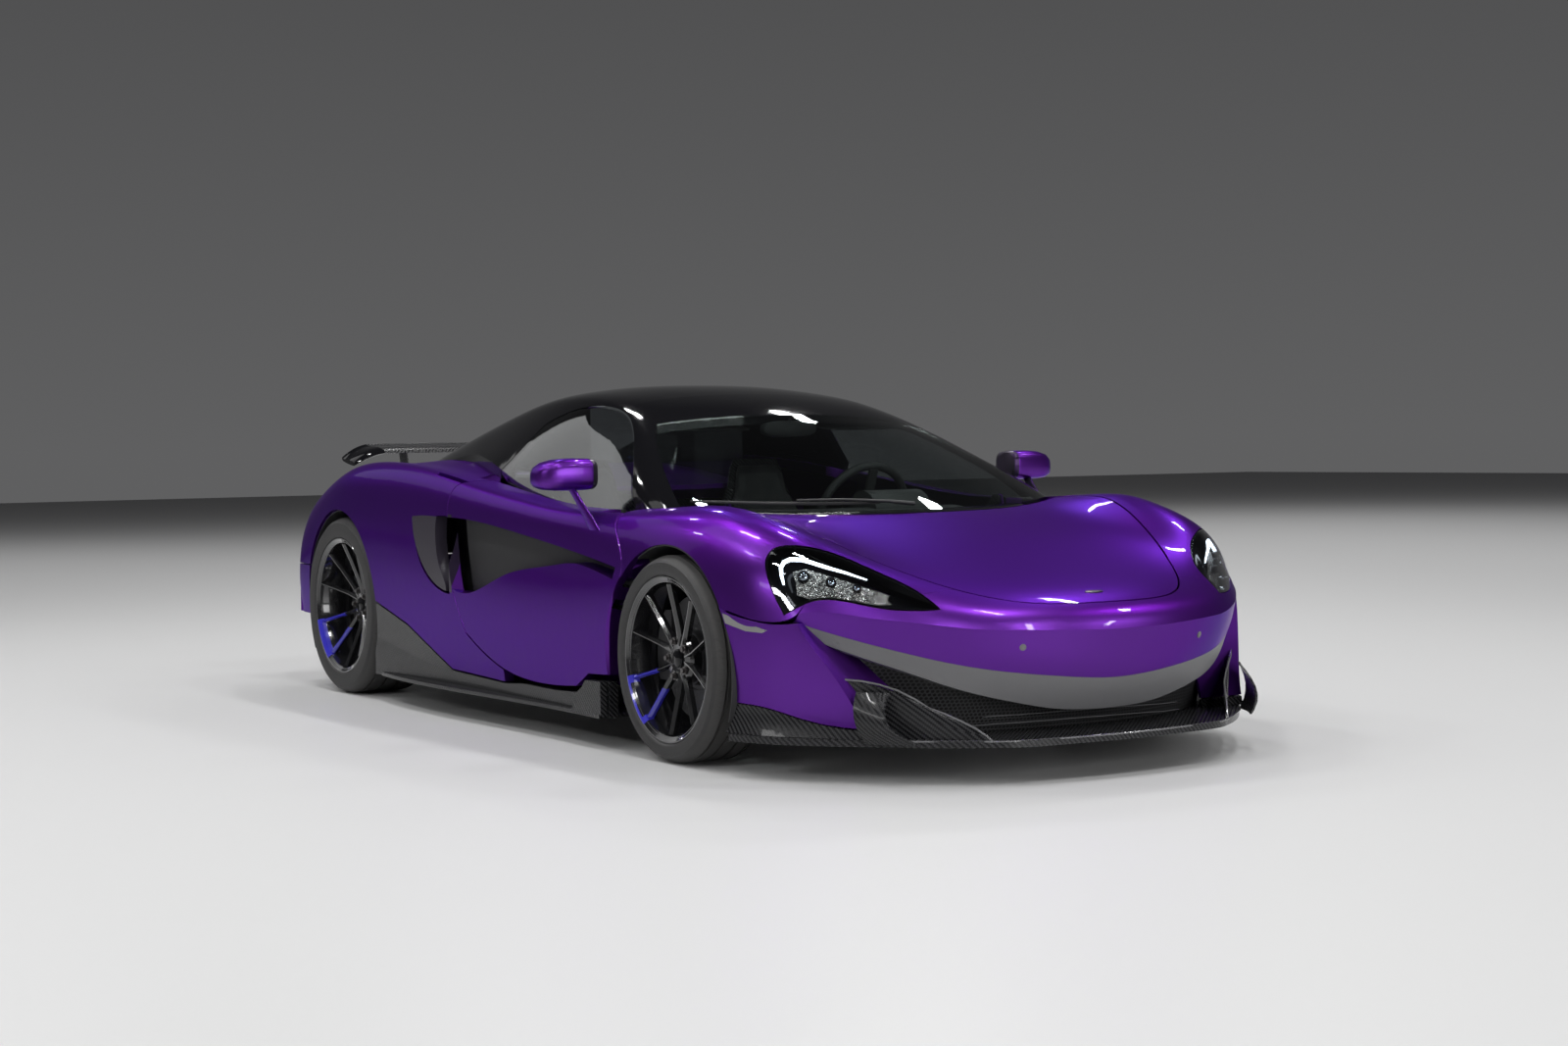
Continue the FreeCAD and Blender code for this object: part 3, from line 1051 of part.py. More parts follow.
def spoke(bead, lip, face_y, angle, swing):
    """One blade of a forked spoke pair, from the hub out to the rim's lip."""
    foot = math.radians(angle + swing * SPOKE_FOOT_SPREAD)
    tip = math.radians(angle + swing * SPOKE_SPREAD)
    near = spoke_section(HUB_RADIUS - 14, foot, 12, 14, face_y - 4, face_y - 38)
    middle_r = (HUB_RADIUS + bead) / 2
    middle = spoke_section(middle_r, (foot * 0.42 + tip * 0.58), 8, 10, face_y + 8, face_y - 22)
    far = spoke_section(bead - 4, tip, 7, 9, lip - 8, lip - 34)
    return Part.makeLoft([near, middle, far], True, False)


def spoke_section(radius, angle, front_half, back_half, front_y, back_y):
    corners = []
    for side, y in ((-front_half, front_y), (front_half, front_y), (back_half, back_y), (-back_half, back_y)):
        across = side / radius
        corners.append(Vector(radius * math.cos(angle + across), y, radius * math.sin(angle + across)))
    return Part.makePolygon(corners + [corners[0]])


def disc(radius, face_y):
    """Brake disc with its hat, bolted behind the hub."""
    back = face_y - DISC_BACK
    front = back + DISC_WALL
    hub_back = face_y - HUB_DEPTH - SEAT
    return revolved([(HUB_RADIUS + 20, back), (radius, back), (radius, front), (HUB_RADIUS + 6, front), (HUB_RADIUS + 6, hub_back),
                     (AXLE_BORE + 4, hub_back), (AXLE_BORE + 4, hub_back - 10), (HUB_RADIUS - 4, hub_back - 10),
                     (HUB_RADIUS - 4, back + 20), (HUB_RADIUS + 20, back + 20)])


def caliper(x, y, z, face_y, disc_radius):
    """Caliper over the disc's rear edge, with its bracket."""
    back = y + face_y - DISC_BACK
    front = back + DISC_WALL
    body = drum(disc_radius + CALIPER_GAP + 14, back - 38, front + 18, x, z)
    body = body.cut(drum(disc_radius - 62, back - 60, front + 60, x, z))
    body = body.cut(drum(disc_radius + CALIPER_GAP, back - CALIPER_GAP, front + CALIPER_GAP, x, z))
    body = body.common(Part.makeBox(400, 400, 220, Vector(x - 520, y - 200, z - 80)))
    bracket = Part.makeBox(disc_radius - 20, 14, 56, Vector(x - disc_radius + 20, back - 26, z - 28))
    return body.fuse(bracket)


def knuckle(x, y, z, face_y, disc_radius):
    """Steered front upright: kingpin, web, spindle and caliper."""
    post = Part.makeCylinder(KINGPIN_RADIUS, ARM_HIGH - ARM_LOW + 60, Vector(x, KINGPIN_Y, ARM_LOW - 30))
    web = Part.makeBox(60, 32, ARM_HIGH - ARM_LOW - 40, Vector(x - 30, KINGPIN_Y - 16, ARM_LOW + 20))
    spindle = drum(AXLE_BORE, KINGPIN_Y - 16, y + face_y - 2, x, z)
    return post.fuse([web, spindle, caliper(x, y, z, face_y, disc_radius)])


def rear_carrier(x, y, z, face_y, disc_radius):
    """Rear upright fixed to the arms: post, spindle and caliper."""
    post = Part.makeBox(60, 36, 330, Vector(x - 30, y - 131, z - 165))
    spindle = drum(AXLE_BORE, y - 131, y + face_y - 2, x, z)
    return post.fuse([spindle, caliper(x, y, z, face_y, disc_radius)])


def flat_arm(points, z):
    """Level arm 22 mm thick over an outline in plan."""
    base = [Vector(x, y, z - 11) for x, y in points]
    return Part.Face(Part.makePolygon(base + [base[0]])).extrude(Vector(0, 0, 22))


def running_gear():
    """Wheels, knuckles with calipers, and the arms that carry them."""
    front_y, rear_y = FRONT_TRACK / 2, REAR_TRACK / 2
    wheels(FRONT_AXLE_X, front_y, FRONT_TYRE_RADIUS, FRONT_TYRE_WIDTH, FRONT_BEAD_RADIUS, WHEEL_FACE_FRONT, DISC_RADIUS_FRONT, "front")
    wheels(REAR_AXLE_X, rear_y, REAR_TYRE_RADIUS, REAR_TYRE_WIDTH, REAR_BEAD_RADIUS, WHEEL_FACE_REAR, DISC_RADIUS_REAR, "rear")
    upright = knuckle(FRONT_AXLE_X, front_y, FRONT_TYRE_RADIUS, WHEEL_FACE_FRONT, DISC_RADIUS_FRONT)
    node("knuckle_left", upright)
    node("knuckle_right", mirrored(upright))
    node("rear_carriers", *pair(rear_carrier(REAR_AXLE_X, rear_y, REAR_TYRE_RADIUS, WHEEL_FACE_REAR, DISC_RADIUS_REAR)))
    arms = []
    x = FRONT_AXLE_X
    for z in (ARM_LOW, ARM_HIGH):
        arm = flat_arm([(x - 140, 480), (x - 16, KINGPIN_Y - 12), (x + 16, KINGPIN_Y - 12), (x + 140, 480), (x + 112, 480),
                        (x, KINGPIN_Y - 75), (x - 112, 480)], z)
        eye = Part.makeCylinder(KINGPIN_RADIUS + 6, 22, Vector(x, KINGPIN_Y, z - 11))
        pin = Part.makeCylinder(KINGPIN_RADIUS + STEER_PLAY, 40, Vector(x, KINGPIN_Y, z - 20))
        arms.append(arm.fuse(eye).cut(pin))
    inner_y = at(0, BAY_HALF, 0).y + SEAT
    tower = Part.makeBox(300, 500 - inner_y, ARM_HIGH - ARM_LOW + 60, Vector(x - 150, inner_y, ARM_LOW - 30))
    root_x = at(TUB_FRONT, 0, 0).x + SEAT
    rail = Part.makeBox(x + 380 - root_x, 500 - inner_y, 60, Vector(root_x, inner_y, ARM_LOW + 10))
    node("front_suspension", *pair(tower.fuse([rail] + arms)))
    x = REAR_AXLE_X
    arms = []
    for z in (ARM_LOW + 33, ARM_HIGH + 33):
        arms.append(flat_arm([(x - 200, 480), (x - 30, 664), (x + 30, 664), (x + 200, 480), (x + 170, 480), (x, 625), (x - 170, 480)], z))
    beam = Part.makeBox(440, 40, ARM_HIGH - ARM_LOW + 60, Vector(x - 220, 442, ARM_LOW + 3))
    shaft = drum(20, 301, 664.2, x, REAR_TYRE_RADIUS)
    rail = box((-2300, 442, 340), (TUB_REAR - SEAT, 482, 400)).common(lifted(BODY_SOLID, x=TAIL_WALL + SEAT))
    node("rear_suspension", *pair(largest(beam.fuse(arms + [shaft, rail]))))


def wheels(x, y, radius, width, bead, face_y, disc_radius, place):
    """Both wheels of one axle: a tyre node and a rim node with its brake disc on each side."""
    rubber = lifted(tyre(radius, width, bead), x, y, radius)
    metal = lifted(rim(width, bead, face_y), x, y, radius)
    brake = lifted(disc(disc_radius, face_y), x, y, radius)
    node("tyre_" + place + "_left", rubber)
    node("tyre_" + place + "_right", mirrored(rubber))
    node("rim_" + place + "_left", metal, brake)
    node("rim_" + place + "_right", mirrored(metal), mirrored(brake))


def mirrors():
    """Door mirrors on thin stalks."""
    scale = Matrix()
    scale.scale(68, 100, 56)
    shell = Part.makeSphere(1.0).transformGeometry(scale)
    shell.translate(at(548, 955, 881))
    stalk = side_prism([[(742, 700), (640, 742), (566, 800), (545, 850)], [(580, 850)], [(600, 810), (668, 765), (742, 735)]],
                       at(0, 917, 0).y, at(0, 931, 0).y)
    stalk = stalk.cut(BODY_UP)
    whole = shell.fuse(largest(stalk))
    node("mirror_left", whole)
    node("mirror_right", mirrored(whole))


STEERING_RAKE = 22.0


def on_column(shape):
    """Set a shape made about the upright axis on the steering column's axis."""
    moved = shape.copy()
    moved.rotate(Vector(0, 0, 0), Vector(0, 1, 0), STEERING_RAKE - 90)
    moved.translate(at(330, 370, 720))
    return moved


def steering_wheel():
    """Rim, boss and spokes of the steering wheel."""
    ring = Part.makeTorus(STEERING_WHEEL_RADIUS, STEERING_GRIP_RADIUS)
    parts = [Part.makeCylinder(52, 34, Vector(0, 0, -34))]
    for angle in (0, 180, 270):
        arm = Part.makeBox(STEERING_WHEEL_RADIUS - 6, 34, 12, Vector(0, -17, -22))
        arm.rotate(Vector(0, 0, 0), Vector(0, 0, 1), angle + 90)
        parts.append(arm)
    whole = ring.fuse(parts)
    node("steering_wheel", on_column(whole))


def export():
    for name, solids in NODES.items():
        shape = solids[0] if len(solids) == 1 else Part.makeCompound(solids)
        shape.exportStep("parts/" + name + ".step")


front_panels()
headlamps()
intakes()
greenhouse()
doors()
rear_quarters()
tail()
tub()
underbody()
cabin()
running_gear()
mirrors()
steering_wheel()
export()
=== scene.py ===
import math

import bmesh
import bpy
from mathutils import Matrix, Vector


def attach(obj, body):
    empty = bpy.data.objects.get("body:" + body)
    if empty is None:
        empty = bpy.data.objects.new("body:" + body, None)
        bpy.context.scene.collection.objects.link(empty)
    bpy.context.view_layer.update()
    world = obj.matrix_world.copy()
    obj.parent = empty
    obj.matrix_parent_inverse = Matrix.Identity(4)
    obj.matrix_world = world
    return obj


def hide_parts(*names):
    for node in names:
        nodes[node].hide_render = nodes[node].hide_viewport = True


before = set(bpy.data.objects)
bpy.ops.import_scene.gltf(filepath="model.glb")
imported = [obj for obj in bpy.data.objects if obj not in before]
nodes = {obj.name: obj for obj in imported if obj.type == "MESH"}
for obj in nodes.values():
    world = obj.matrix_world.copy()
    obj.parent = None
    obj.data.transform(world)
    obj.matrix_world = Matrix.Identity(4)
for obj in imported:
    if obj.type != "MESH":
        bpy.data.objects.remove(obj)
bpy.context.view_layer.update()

# The camera stands ahead of the car's right front corner, at the height of its roof, and looks back along the right
# flank with a slight dip and roll, as in the photograph.
turn, dip, roll = math.radians(57.87), math.radians(1.94), math.radians(-0.82)
back = Vector((math.sin(turn) * math.cos(dip), -math.cos(turn) * math.cos(dip), math.sin(dip)))
right = Vector((math.cos(turn), math.sin(turn), 0))
up = back.cross(right)
right, up = right * math.cos(roll) + up * math.sin(roll), up * math.cos(roll) - right * math.sin(roll)
camera_stand = (7.65399, -4.54064, 0.98232)
camera_data = bpy.data.cameras.new("camera")
camera_data.sensor_width = 36.0
camera_data.lens = 55.27
camera_data.clip_end = 200.0
camera = bpy.data.objects.new("camera", camera_data)
camera.matrix_world = Matrix.Translation(camera_stand) @ Matrix((right, up, back)).transposed().to_4x4()
bpy.context.scene.collection.objects.link(camera)
bpy.context.scene.camera = camera

# The studio: an even grey surround, four rows of short lamps overhead, and soft boxes to the right, behind, above and
# ahead of the car. Seven wide lamps light the floor round it and show in no reflection.
bpy.context.scene.view_settings.view_transform = "Standard"
world = bpy.data.worlds.new("studio")
world.use_nodes = True
bpy.context.scene.world = world
sky = world.node_tree
height = sky.nodes.new("ShaderNodeSeparateXYZ")
sky.links.new(sky.nodes.new("ShaderNodeTexCoord").outputs["Generated"], height.inputs[0])
ramp = sky.nodes.new("ShaderNodeValToRGB")
grey_wall = ((0.0, (0.115, 0.115, 0.117, 1)), (0.55, (0.012, 0.012, 0.013, 1)))
for stop, (position, colour) in zip(ramp.color_ramp.elements, grey_wall):
    stop.position = position
    stop.color = colour
sky.links.new(height.outputs["Z"], ramp.inputs["Fac"])
sky.links.new(ramp.outputs["Color"], sky.nodes["Background"].inputs["Color"])


def soft_lamp(name, place, target, size, watts):
    """A rectangular lamp that faces its target."""
    lamp = bpy.data.lights.new(name, "AREA")
    lamp.shape = "RECTANGLE"
    lamp.size, lamp.size_y = size
    lamp.energy = watts
    holder = bpy.data.objects.new(name, lamp)
    bpy.context.scene.collection.objects.link(holder)
    way = Vector(target) - Vector(place)
    holder.matrix_world = Matrix.Translation(place) @ way.to_track_quat("-Z", "Y").to_matrix().to_4x4()
    return holder


ceiling = 5.6
for row, along in enumerate((-5.0, -1.6, 1.8, 5.2)):
    for across in (-4.5, -1.5, 1.5, 4.5):
        name = "lamp_%d_%d" % (row, across * 10 + 45)
        soft_lamp(name, (along, across, ceiling), (along, across, 0), size=(0.9, 0.22), watts=58)
soft_lamp("lamp_right", (2.0, -7.5, 3.4), (0.3, 0, 0.5), size=(4.0, 0.5), watts=90)
soft_lamp("lamp_behind", (-8.5, -4.2, 5.0), (0, -0.5, 0.9), size=(7.0, 3.4), watts=48)
soft_lamp("lamp_overhead", (-1.5, -3.2, 5.7), (0.3, -0.6, 0.6), size=(3.6, 3.0), watts=40)
soft_lamp("lamp_front", (10.5, 0.5, 2.2), (1.2, 0, 0.4), size=(7.0, 3.0), watts=420)
for row, (along, across) in enumerate(((-9, 7), (-14, -1), (-3, 12), (5, 10), (-12, 14), (9, -9), (-9, -10))):
    wide = soft_lamp("lamp_floor_%d" % row, (along, across, 7.0), (along, across, 0), size=(7.0, 7.0), watts=270)
    wide.visible_glossy = False

# The body panels are the bonnet, fenders, doors, quarters, rear deck, bumpers and mirror housings: thin skins in a
# purple metallic lacquer, a dark violet base with fine flakes under a clear coat. The doors' inner faces, the quarters'
# edge in the side intake and the tail round its mesh are black.


class Wire:
    """A socket of a material's nodes: sums on it add Math nodes, and node() adds any other."""

    def __init__(self, socket):
        self.socket = socket
        self.tree = socket.id_data

    def node(self, kind, settings=None, out=0, **inputs):
        made = self.tree.nodes.new("ShaderNode" + kind)
        for key, value in (settings or {}).items():
            if key == "stops":
                stops = made.color_ramp.elements
                while len(stops) < len(value):
                    stops.new(0.5)
                for stop, (position, colour) in zip(stops, value):
                    stop.position = position
                    stop.color = colour
            else:
                setattr(made, key, value)
        for key, value in inputs.items():
            if key.startswith("at"):
                socket = made.inputs[int(key[2:])]
            else:
                socket = next(s for s in made.inputs if s.enabled and s.name == key.replace("_", " "))
            if isinstance(value, Wire):
                self.tree.links.new(value.socket, socket)
            else:
                socket.default_value = value
        return Wire([s for s in made.outputs if s.enabled][out])

    def math(self, operation, first, second=0.0):
        return self.node("Math", {"operation": operation}, at0=first, at1=second)

    def __add__(self, other):
        return self.math("ADD", self, other)

    def __radd__(self, other):
        return self.math("ADD", other, self)

    def __sub__(self, other):
        return self.math("SUBTRACT", self, other)

    def __rsub__(self, other):
        return self.math("SUBTRACT", other, self)

    def __mul__(self, other):
        return self.math("MULTIPLY", self, other)

    def __rmul__(self, other):
        return self.math("MULTIPLY", other, self)

    def __truediv__(self, other):
        return self.math("DIVIDE", self, other)

    def __pow__(self, other):
        return self.math("POWER", self, other)

    def __mod__(self, other):
        return self.math("FLOORED_MODULO", self, other)

    def __abs__(self):
        return self.math("ABSOLUTE", self)

    def __gt__(self, other):
        return self.math("GREATER_THAN", self, other)

    def __lt__(self, other):
        return self.math("LESS_THAN", self, other)


def finish(name, colour, roughness, **sockets):
    """A Principled material; returns it with its shader's sockets and the place on the piece."""
    material = bpy.data.materials.new(name)
    material.use_nodes = True
    tree = material.node_tree
    shader = tree.nodes["Principled BSDF"]
    shader.inputs["Base Color"].default_value = (*colour, 1)
    shader.inputs["Roughness"].default_value = roughness
    for key, value in sockets.items():
        shader.inputs[key.replace("_", " ")].default_value = value
    place = Wire(tree.nodes.new("ShaderNodeTexCoord").outputs["Object"])
    return material, shader.inputs, place


def axes(wire):
    """The three numbers of a place or a direction."""
    return [wire.node("SeparateXYZ", out=i, Vector=wire) for i in range(3)]


def least(wire, limit):
    return wire.math("MINIMUM", wire, limit)


def noise(place, scale, detail):
    return place.node("TexNoise", Vector=place, Scale=scale, Detail=detail)


def tints(wire, mask, low, high):
    """A colour between two, by a mask; each is three numbers or a wire."""
    low, high = [colour if isinstance(colour, Wire) else (*colour, 1) for colour in (low, high)]
    return wire.node("Mix", {"data_type": "RGBA"}, Factor=mask, A=low, B=high)


def bumps(wire, height, distance, strength=1.0):
    return wire.node("Bump", Height=height, Distance=distance, Strength=strength)


def feed(socket, wire):
    wire.tree.links.new(wire.socket, socket)


def wear(material, *names):
    """Gives CAD nodes their material."""
    for name in names:
        data = nodes[name].data
        data.materials.clear()
        data.materials.append(material)


paint, sockets, place = finish("violet_lacquer", (0.10, 0.02, 0.34), 0.32, Metallic=0.9,
                               Coat_Weight=0.28, Coat_Roughness=0.02, Coat_IOR=1.3)
sockets["Specular Tint"].default_value = (0.36, 0.10, 0.72, 1)
flakes = place.node("TexVoronoi", {"feature": "F1"}, out=1, Vector=place, Scale=900.0).node("SeparateColor")
lacquer = tints(place, flakes * 0.8, (0.046, 0.007, 0.130), (0.128, 0.026, 0.31))
x, y, z = axes(place)
faces_cabin = axes(place.node("TexCoord", out=1))[1] * y < -0.15
on_door = abs(x - 0.25) < 0.61
in_intake = (abs(x + 0.3555) < 0.0165) * (abs(z - 0.595) < 0.14)
on_tail = (x < -2.05) * (abs(z - 0.70) < 0.152) * (abs(y) < 0.60)
hidden = least(faces_cabin * on_door + in_intake + on_tail, 1.0)
feed(sockets["Base Color"], tints(place, hidden, lacquer, (0.012, 0.012, 0.013)))
feed(sockets["Metallic"], 0.9 - 0.9 * hidden)
feed(sockets["Normal"], bumps(place, flakes * 0.00004 + noise(place, 140.0, 1.0) * 0.00002, 1.0, 0.5))
wear(paint, "bonnet", "front_fenders", "front_bumper", "door_left", "door_right", "mirror_left", "mirror_right",
     "rear_quarters", "rear_deck", "rear_bumper")

# The roof, screen frame and buttresses are moulded panels in gloss black lacquer, bonded to the tub. The nose panel is
# satin grey, the blades in its intakes dark, and the arch liners, ducts and luggage tub are grained black mouldings.


def moulded(name, colour, roughness, grain, depth, detail=2.0, **coat):
    """A plain finish with a fine grain or ripple in it."""
    material, sockets, place = finish(name, colour, roughness, **coat)
    feed(sockets["Normal"], bumps(place, noise(place, grain, detail), depth))
    return material


gloss = moulded("black_lacquer", (0.005, 0.005, 0.006), 0.06, 140.0, 0.00002, detail=1.0,
                Specular_IOR_Level=0.15, Coat_Weight=0.35, Coat_Roughness=0.01, Coat_IOR=1.3)
satin = moulded("grey_moulding", (0.115, 0.115, 0.12), 0.42, 900.0, 0.00006)
dark = moulded("dark_moulding", (0.022, 0.018, 0.028), 0.35, 900.0, 0.00005)
mould = moulded("black_moulding", (0.012, 0.012, 0.013), 0.6, 700.0, 0.00012)
wear(gloss, "roof", "windscreen_frame", "buttresses", "headlamp_bowls")
wear(satin, "nose_panel")
wear(dark, "intake_blades")
wear(mould, "arch_liners", "intake_ducts", "luggage_tub", "door_channel_left", "door_channel_right")

# The grilles in the nose and tail are black punched steel mesh, held behind the bumpers: rows of round holes of about
# 8.6 mm, each row half a step on from the last.
hole_step, row_step, hole_radius_squared = 0.012, 0.0104, 0.0000185
punched, sockets, place = finish("punched_mesh", (0.02, 0.02, 0.02), 0.45)
y, z = axes(place)[1:]
row = z / row_step
across = y / hole_step + 0.5 * (row.math("FLOOR", row) % 2.0)
hole = ((across % 1.0 - 0.5) * hole_step) ** 2.0 + ((row % 1.0 - 0.5) * row_step) ** 2.0 < hole_radius_squared
# The holes are painted near black: painted shade for the dark space seen through the mesh.
feed(sockets["Base Color"], tints(place, hole, (0.034, 0.034, 0.036), (0.0005, 0.0005, 0.0005)))
feed(sockets["Normal"], bumps(place, 1.0 - hole, 0.002))
wear(punched, "front_intakes", "tail_mesh")

# The skirts, splitter, diffuser, wing, floor and tub are lacquered twill carbon. Each 4 mm tow goes over two and under
# two, one step on in the next row, and the cloth lies on each face in the two directions that the face runs in.
tow = 0.004
carbon, sockets, place = finish("twill_carbon", (0.02, 0.02, 0.02), 0.3, Specular_IOR_Level=0.2,
                                Coat_Weight=0.35, Coat_Roughness=0.04, Coat_IOR=1.3)
x, y, z = axes(place)
nx, ny, nz = [abs(part) for part in axes(place.node("TexCoord", out=1))]
flat = (nz > nx) * (nz > ny)
along = flat + (1.0 - flat) * (ny > nx)
u, v = (x * along + y * (1.0 - along)) / tow, (y * flat + z * (1.0 - flat)) / tow
over = (u.math("FLOOR", u) + v.math("FLOOR", v)) % 4.0 < 1.5
hump = over * abs(u % 1.0 - 0.5) + (1.0 - over) * abs(v % 1.0 - 0.5)
# The tows on top are painted lighter, brightest along their crowns: partly the weave's own pattern, partly painted
# sheen and highlight.
feed(sockets["Base Color"], tints(place, over * (1.0 - hump), (0.006, 0.006, 0.007), (0.034, 0.034, 0.036)))
feed(sockets["Roughness"], 0.26 + over * 0.16)
feed(sockets["Normal"], bumps(place, 0.5 - hump, 0.0002))
wear(carbon, "side_skirts", "splitter", "diffuser", "rear_wing", "underfloor", "tub")

# The dashboard, steering wheel and tunnel are foam mouldings covered in a fine-grained black hide, a little worn in
# patches.


def tanned(name, colour, grain, patches, low, high, roughness, depth):
    """Black leather: creases round small cells, and patches where it is worn."""
    material, sockets, place = finish(name, colour, 0.5)
    creases = place.node("TexVoronoi", {"feature": "DISTANCE_TO_EDGE"}, Vector=place, Scale=grain)
    worn = noise(place, patches, 4.0)
    feed(sockets["Base Color"], tints(place, worn, low, high))
    feed(sockets["Roughness"], roughness + worn * 0.25)
    feed(sockets["Normal"], bumps(place, least(creases, 0.12), depth))
    return material


hide = tanned("black_hide", (0.028, 0.028, 0.030), 520.0, 26.0,
              (0.018, 0.018, 0.019), (0.045, 0.044, 0.045), 0.42, 0.0012)
wear(hide, "dashboard", "centre_tunnel", "steering_wheel")

# The suspension, its carriers, the knuckles, the engine and the exhaust are cast and machined alloy with a fine grain,
# bolted to the tub and to one another.
alloy, sockets, place = finish("machined_alloy", (0.10, 0.10, 0.105), 0.4, Metallic=0.9)
grain = noise(place, 300.0, 3.0)
feed(sockets["Roughness"], 0.32 + grain * 0.25)
feed(sockets["Normal"], bumps(place, grain, 0.0002))
wear(alloy, "front_suspension", "rear_suspension", "rear_carriers", "knuckle_left", "knuckle_right", "engine",
     "exhausts")

# The wheels are forged in one piece: a deep barrel and ten thin ridged spokes in five forked pairs, five titanium bolts
# and a bare cap. The tyres are road tyres with four grooves round the tread. Behind each wheel turns a drilled ceramic
# disc on its dark bell.


def piece(mesh, name, material, body, sharp=35):
    """A finished bmesh as an object that rides on a body, smooth apart from its sharp edges."""
    bmesh.ops.recalc_face_normals(mesh, faces=mesh.faces)
    data = bpy.data.meshes.new(name)
    mesh.to_mesh(data)
    mesh.free()
    data.shade_smooth()
    data.set_sharp_from_angle(angle=math.radians(sharp))
    data.materials.append(material)
    made = bpy.data.objects.new(name, data)
    bpy.context.scene.collection.objects.link(made)
    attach(made, body)
    return made


def turned(mesh, points, centre, axis, steps):
    """Turns a closed outline about an axis, as on a lathe."""
    ring = [mesh.verts.new(point) for point in points]
    edges = [mesh.edges.new((ring[i - 1], ring[i])) for i in range(len(ring))]
    bmesh.ops.spin(mesh, geom=ring + edges, cent=centre, axis=axis, angle=math.tau, steps=steps, use_merge=True)


def on_axle(mesh, outline, axle, way, steps=96):
    """Turns an outline of (radius, way out) about a wheel's axle."""
    turned(mesh, [axle + Vector((radius, out * way, 0)) for radius, out in outline], axle, (0, 1, 0), steps)


def loft(mesh, rings):
    """Skins rings of points one after the other and closes the ends."""
    hoops = []
    for ring in rings:
        verts = [mesh.verts.new(point) for point in ring]
        hoops.append([mesh.edges.new((verts[i - 1], verts[i])) for i in range(len(verts))])
    for first, second in zip(hoops, hoops[1:]):
        bmesh.ops.bridge_loops(mesh, edges=first + second)
    for hoop in (hoops[0], hoops[-1]):
        bmesh.ops.contextual_create(mesh, geom=hoop)


def round_axle(place, centre, way):
    """A material's way along, out and up from an axle, and its distance from it."""
    x, y, z = axes(place)
    x, y, z = x - centre.x, (y - centre.y) * way, z - centre.z
    return x, y, z, (x * x + z * z) ** 0.5


def tyre_rubber(name, centre, radius, half, way):
    """Black rubber with moulded rings on the wall and slanted cuts across the tread."""
    material, sockets, place = finish(name, (0.017, 0.017, 0.018), 0.62)
    x, y, z, reach = round_axle(place, centre, way)
    round_way = x.math("ARCTAN2", z, x) * radius
    tread = (reach > radius - 0.016) * (abs(y) < half - 0.012)
    cuts = ((round_way + abs(y) * 0.55) % 0.034 < 0.0032) * (abs(abs(y) - half * 0.40) > 0.016)
    fine = ((round_way - abs(y) * 0.3) % 0.017 < 0.0012) * 0.4
    rings = (abs(reach - radius * 0.945) < 0.0012) + (abs(reach - radius * 0.905) < 0.0008)
    rings = rings + (abs(reach - radius * 0.835) < 0.0015)
    ribs = (round_way % 0.0035 < 0.0014) * (abs(reach - radius * 0.925) < 0.004)
    scuffed = tread * 0.35 + noise(place, 45.0, 4.0) * 0.4
    feed(sockets["Base Color"], tints(place, scuffed, (0.014, 0.014, 0.015), (0.062, 0.060, 0.058)))
    feed(sockets["Roughness"], 0.50 + scuffed * 0.35)
    feed(sockets["Normal"], bumps(place, (rings + ribs) * (1.0 - tread) * 0.12 - (cuts + fine) * tread, 0.004))
    return material


def wheel_lacquer(name, centre, face, lip, way):
    """Gloss black on the forged rim, with two spokes and the rim between them picked out in blue violet."""
    black, blue = (0.008, 0.008, 0.009), (0.035, 0.030, 0.42)
    material, sockets, place = finish(name, black, 0.16, Coat_Weight=1.0, Coat_Roughness=0.03)
    x, y, z, reach = round_axle(place, centre, way)
    heading = x.math("ARCTAN2", z, x) * (180 / math.pi) + 144.0
    out = (y - face + 0.032) / (lip - face) * 0.19 + 0.040 > reach
    spokes = (abs(abs(heading) - 17.5) * reach < 0.70) * (reach > 0.120) * out
    arc = (abs(heading) < 20.0) * (reach > 0.247)
    feed(sockets["Base Color"], tints(place, spokes.math("MAXIMUM", spokes, arc), black, blue))
    feed(sockets["Roughness"], 0.12 + noise(place, 60.0, 3.0) * 0.12)
    return material


titanium, sockets, place = finish("titanium", (0.16, 0.15, 0.15), 0.3, Metallic=1.0)
feed(sockets["Roughness"], 0.22 + noise(place, 600.0, 2.0) * 0.2)

drilled, sockets, place = finish("drilled_ceramic", (0.055, 0.055, 0.058), 0.38, Metallic=0.6)
pores = place.node("TexVoronoi", {"feature": "F1"}, Vector=place, Scale=62.0)
# The drilled holes are painted near black: painted shade inside them.
feed(sockets["Base Color"], tints(place, pores < 0.22, (0.065, 0.065, 0.068), (0.003, 0.003, 0.003)))
feed(sockets["Normal"], bumps(place, least(pores, 0.22), 0.006))

# For each end: the axle's place, the tyre's radius and width, the radius of its bead, how far the hub's face stands out
# of the wheel's middle, and the brake disc's back and radius. A spoke's stations are its share of the reach, its swing
# in degrees, its half width and the half width of its ridge.
sides = (("left", 1), ("right", -1))
wheel_ends = (
    ("front", 1.232, 0.840, 0.320, 0.225, 0.2413, 0.066, -0.040, 0.192),
    ("rear", -1.438, 0.7955, 0.353, 0.285, 0.254, 0.056, -0.052, 0.190),
)
groove_depth, groove_foot, groove_mouth = 0.0072, 0.0040, 0.0052
spoke_stations = ((0.0, 11, 0.012, 0.003), (0.3, 14.5, 0.0085, 0.0018), (0.65, 17, 0.0065, 0.0014),
                  (1.0, 18, 0.0075, 0.0016))
bolt_circle, bolt_turn = 0.056, 36
disc_thickness, disc_bore = 0.034, 0.100
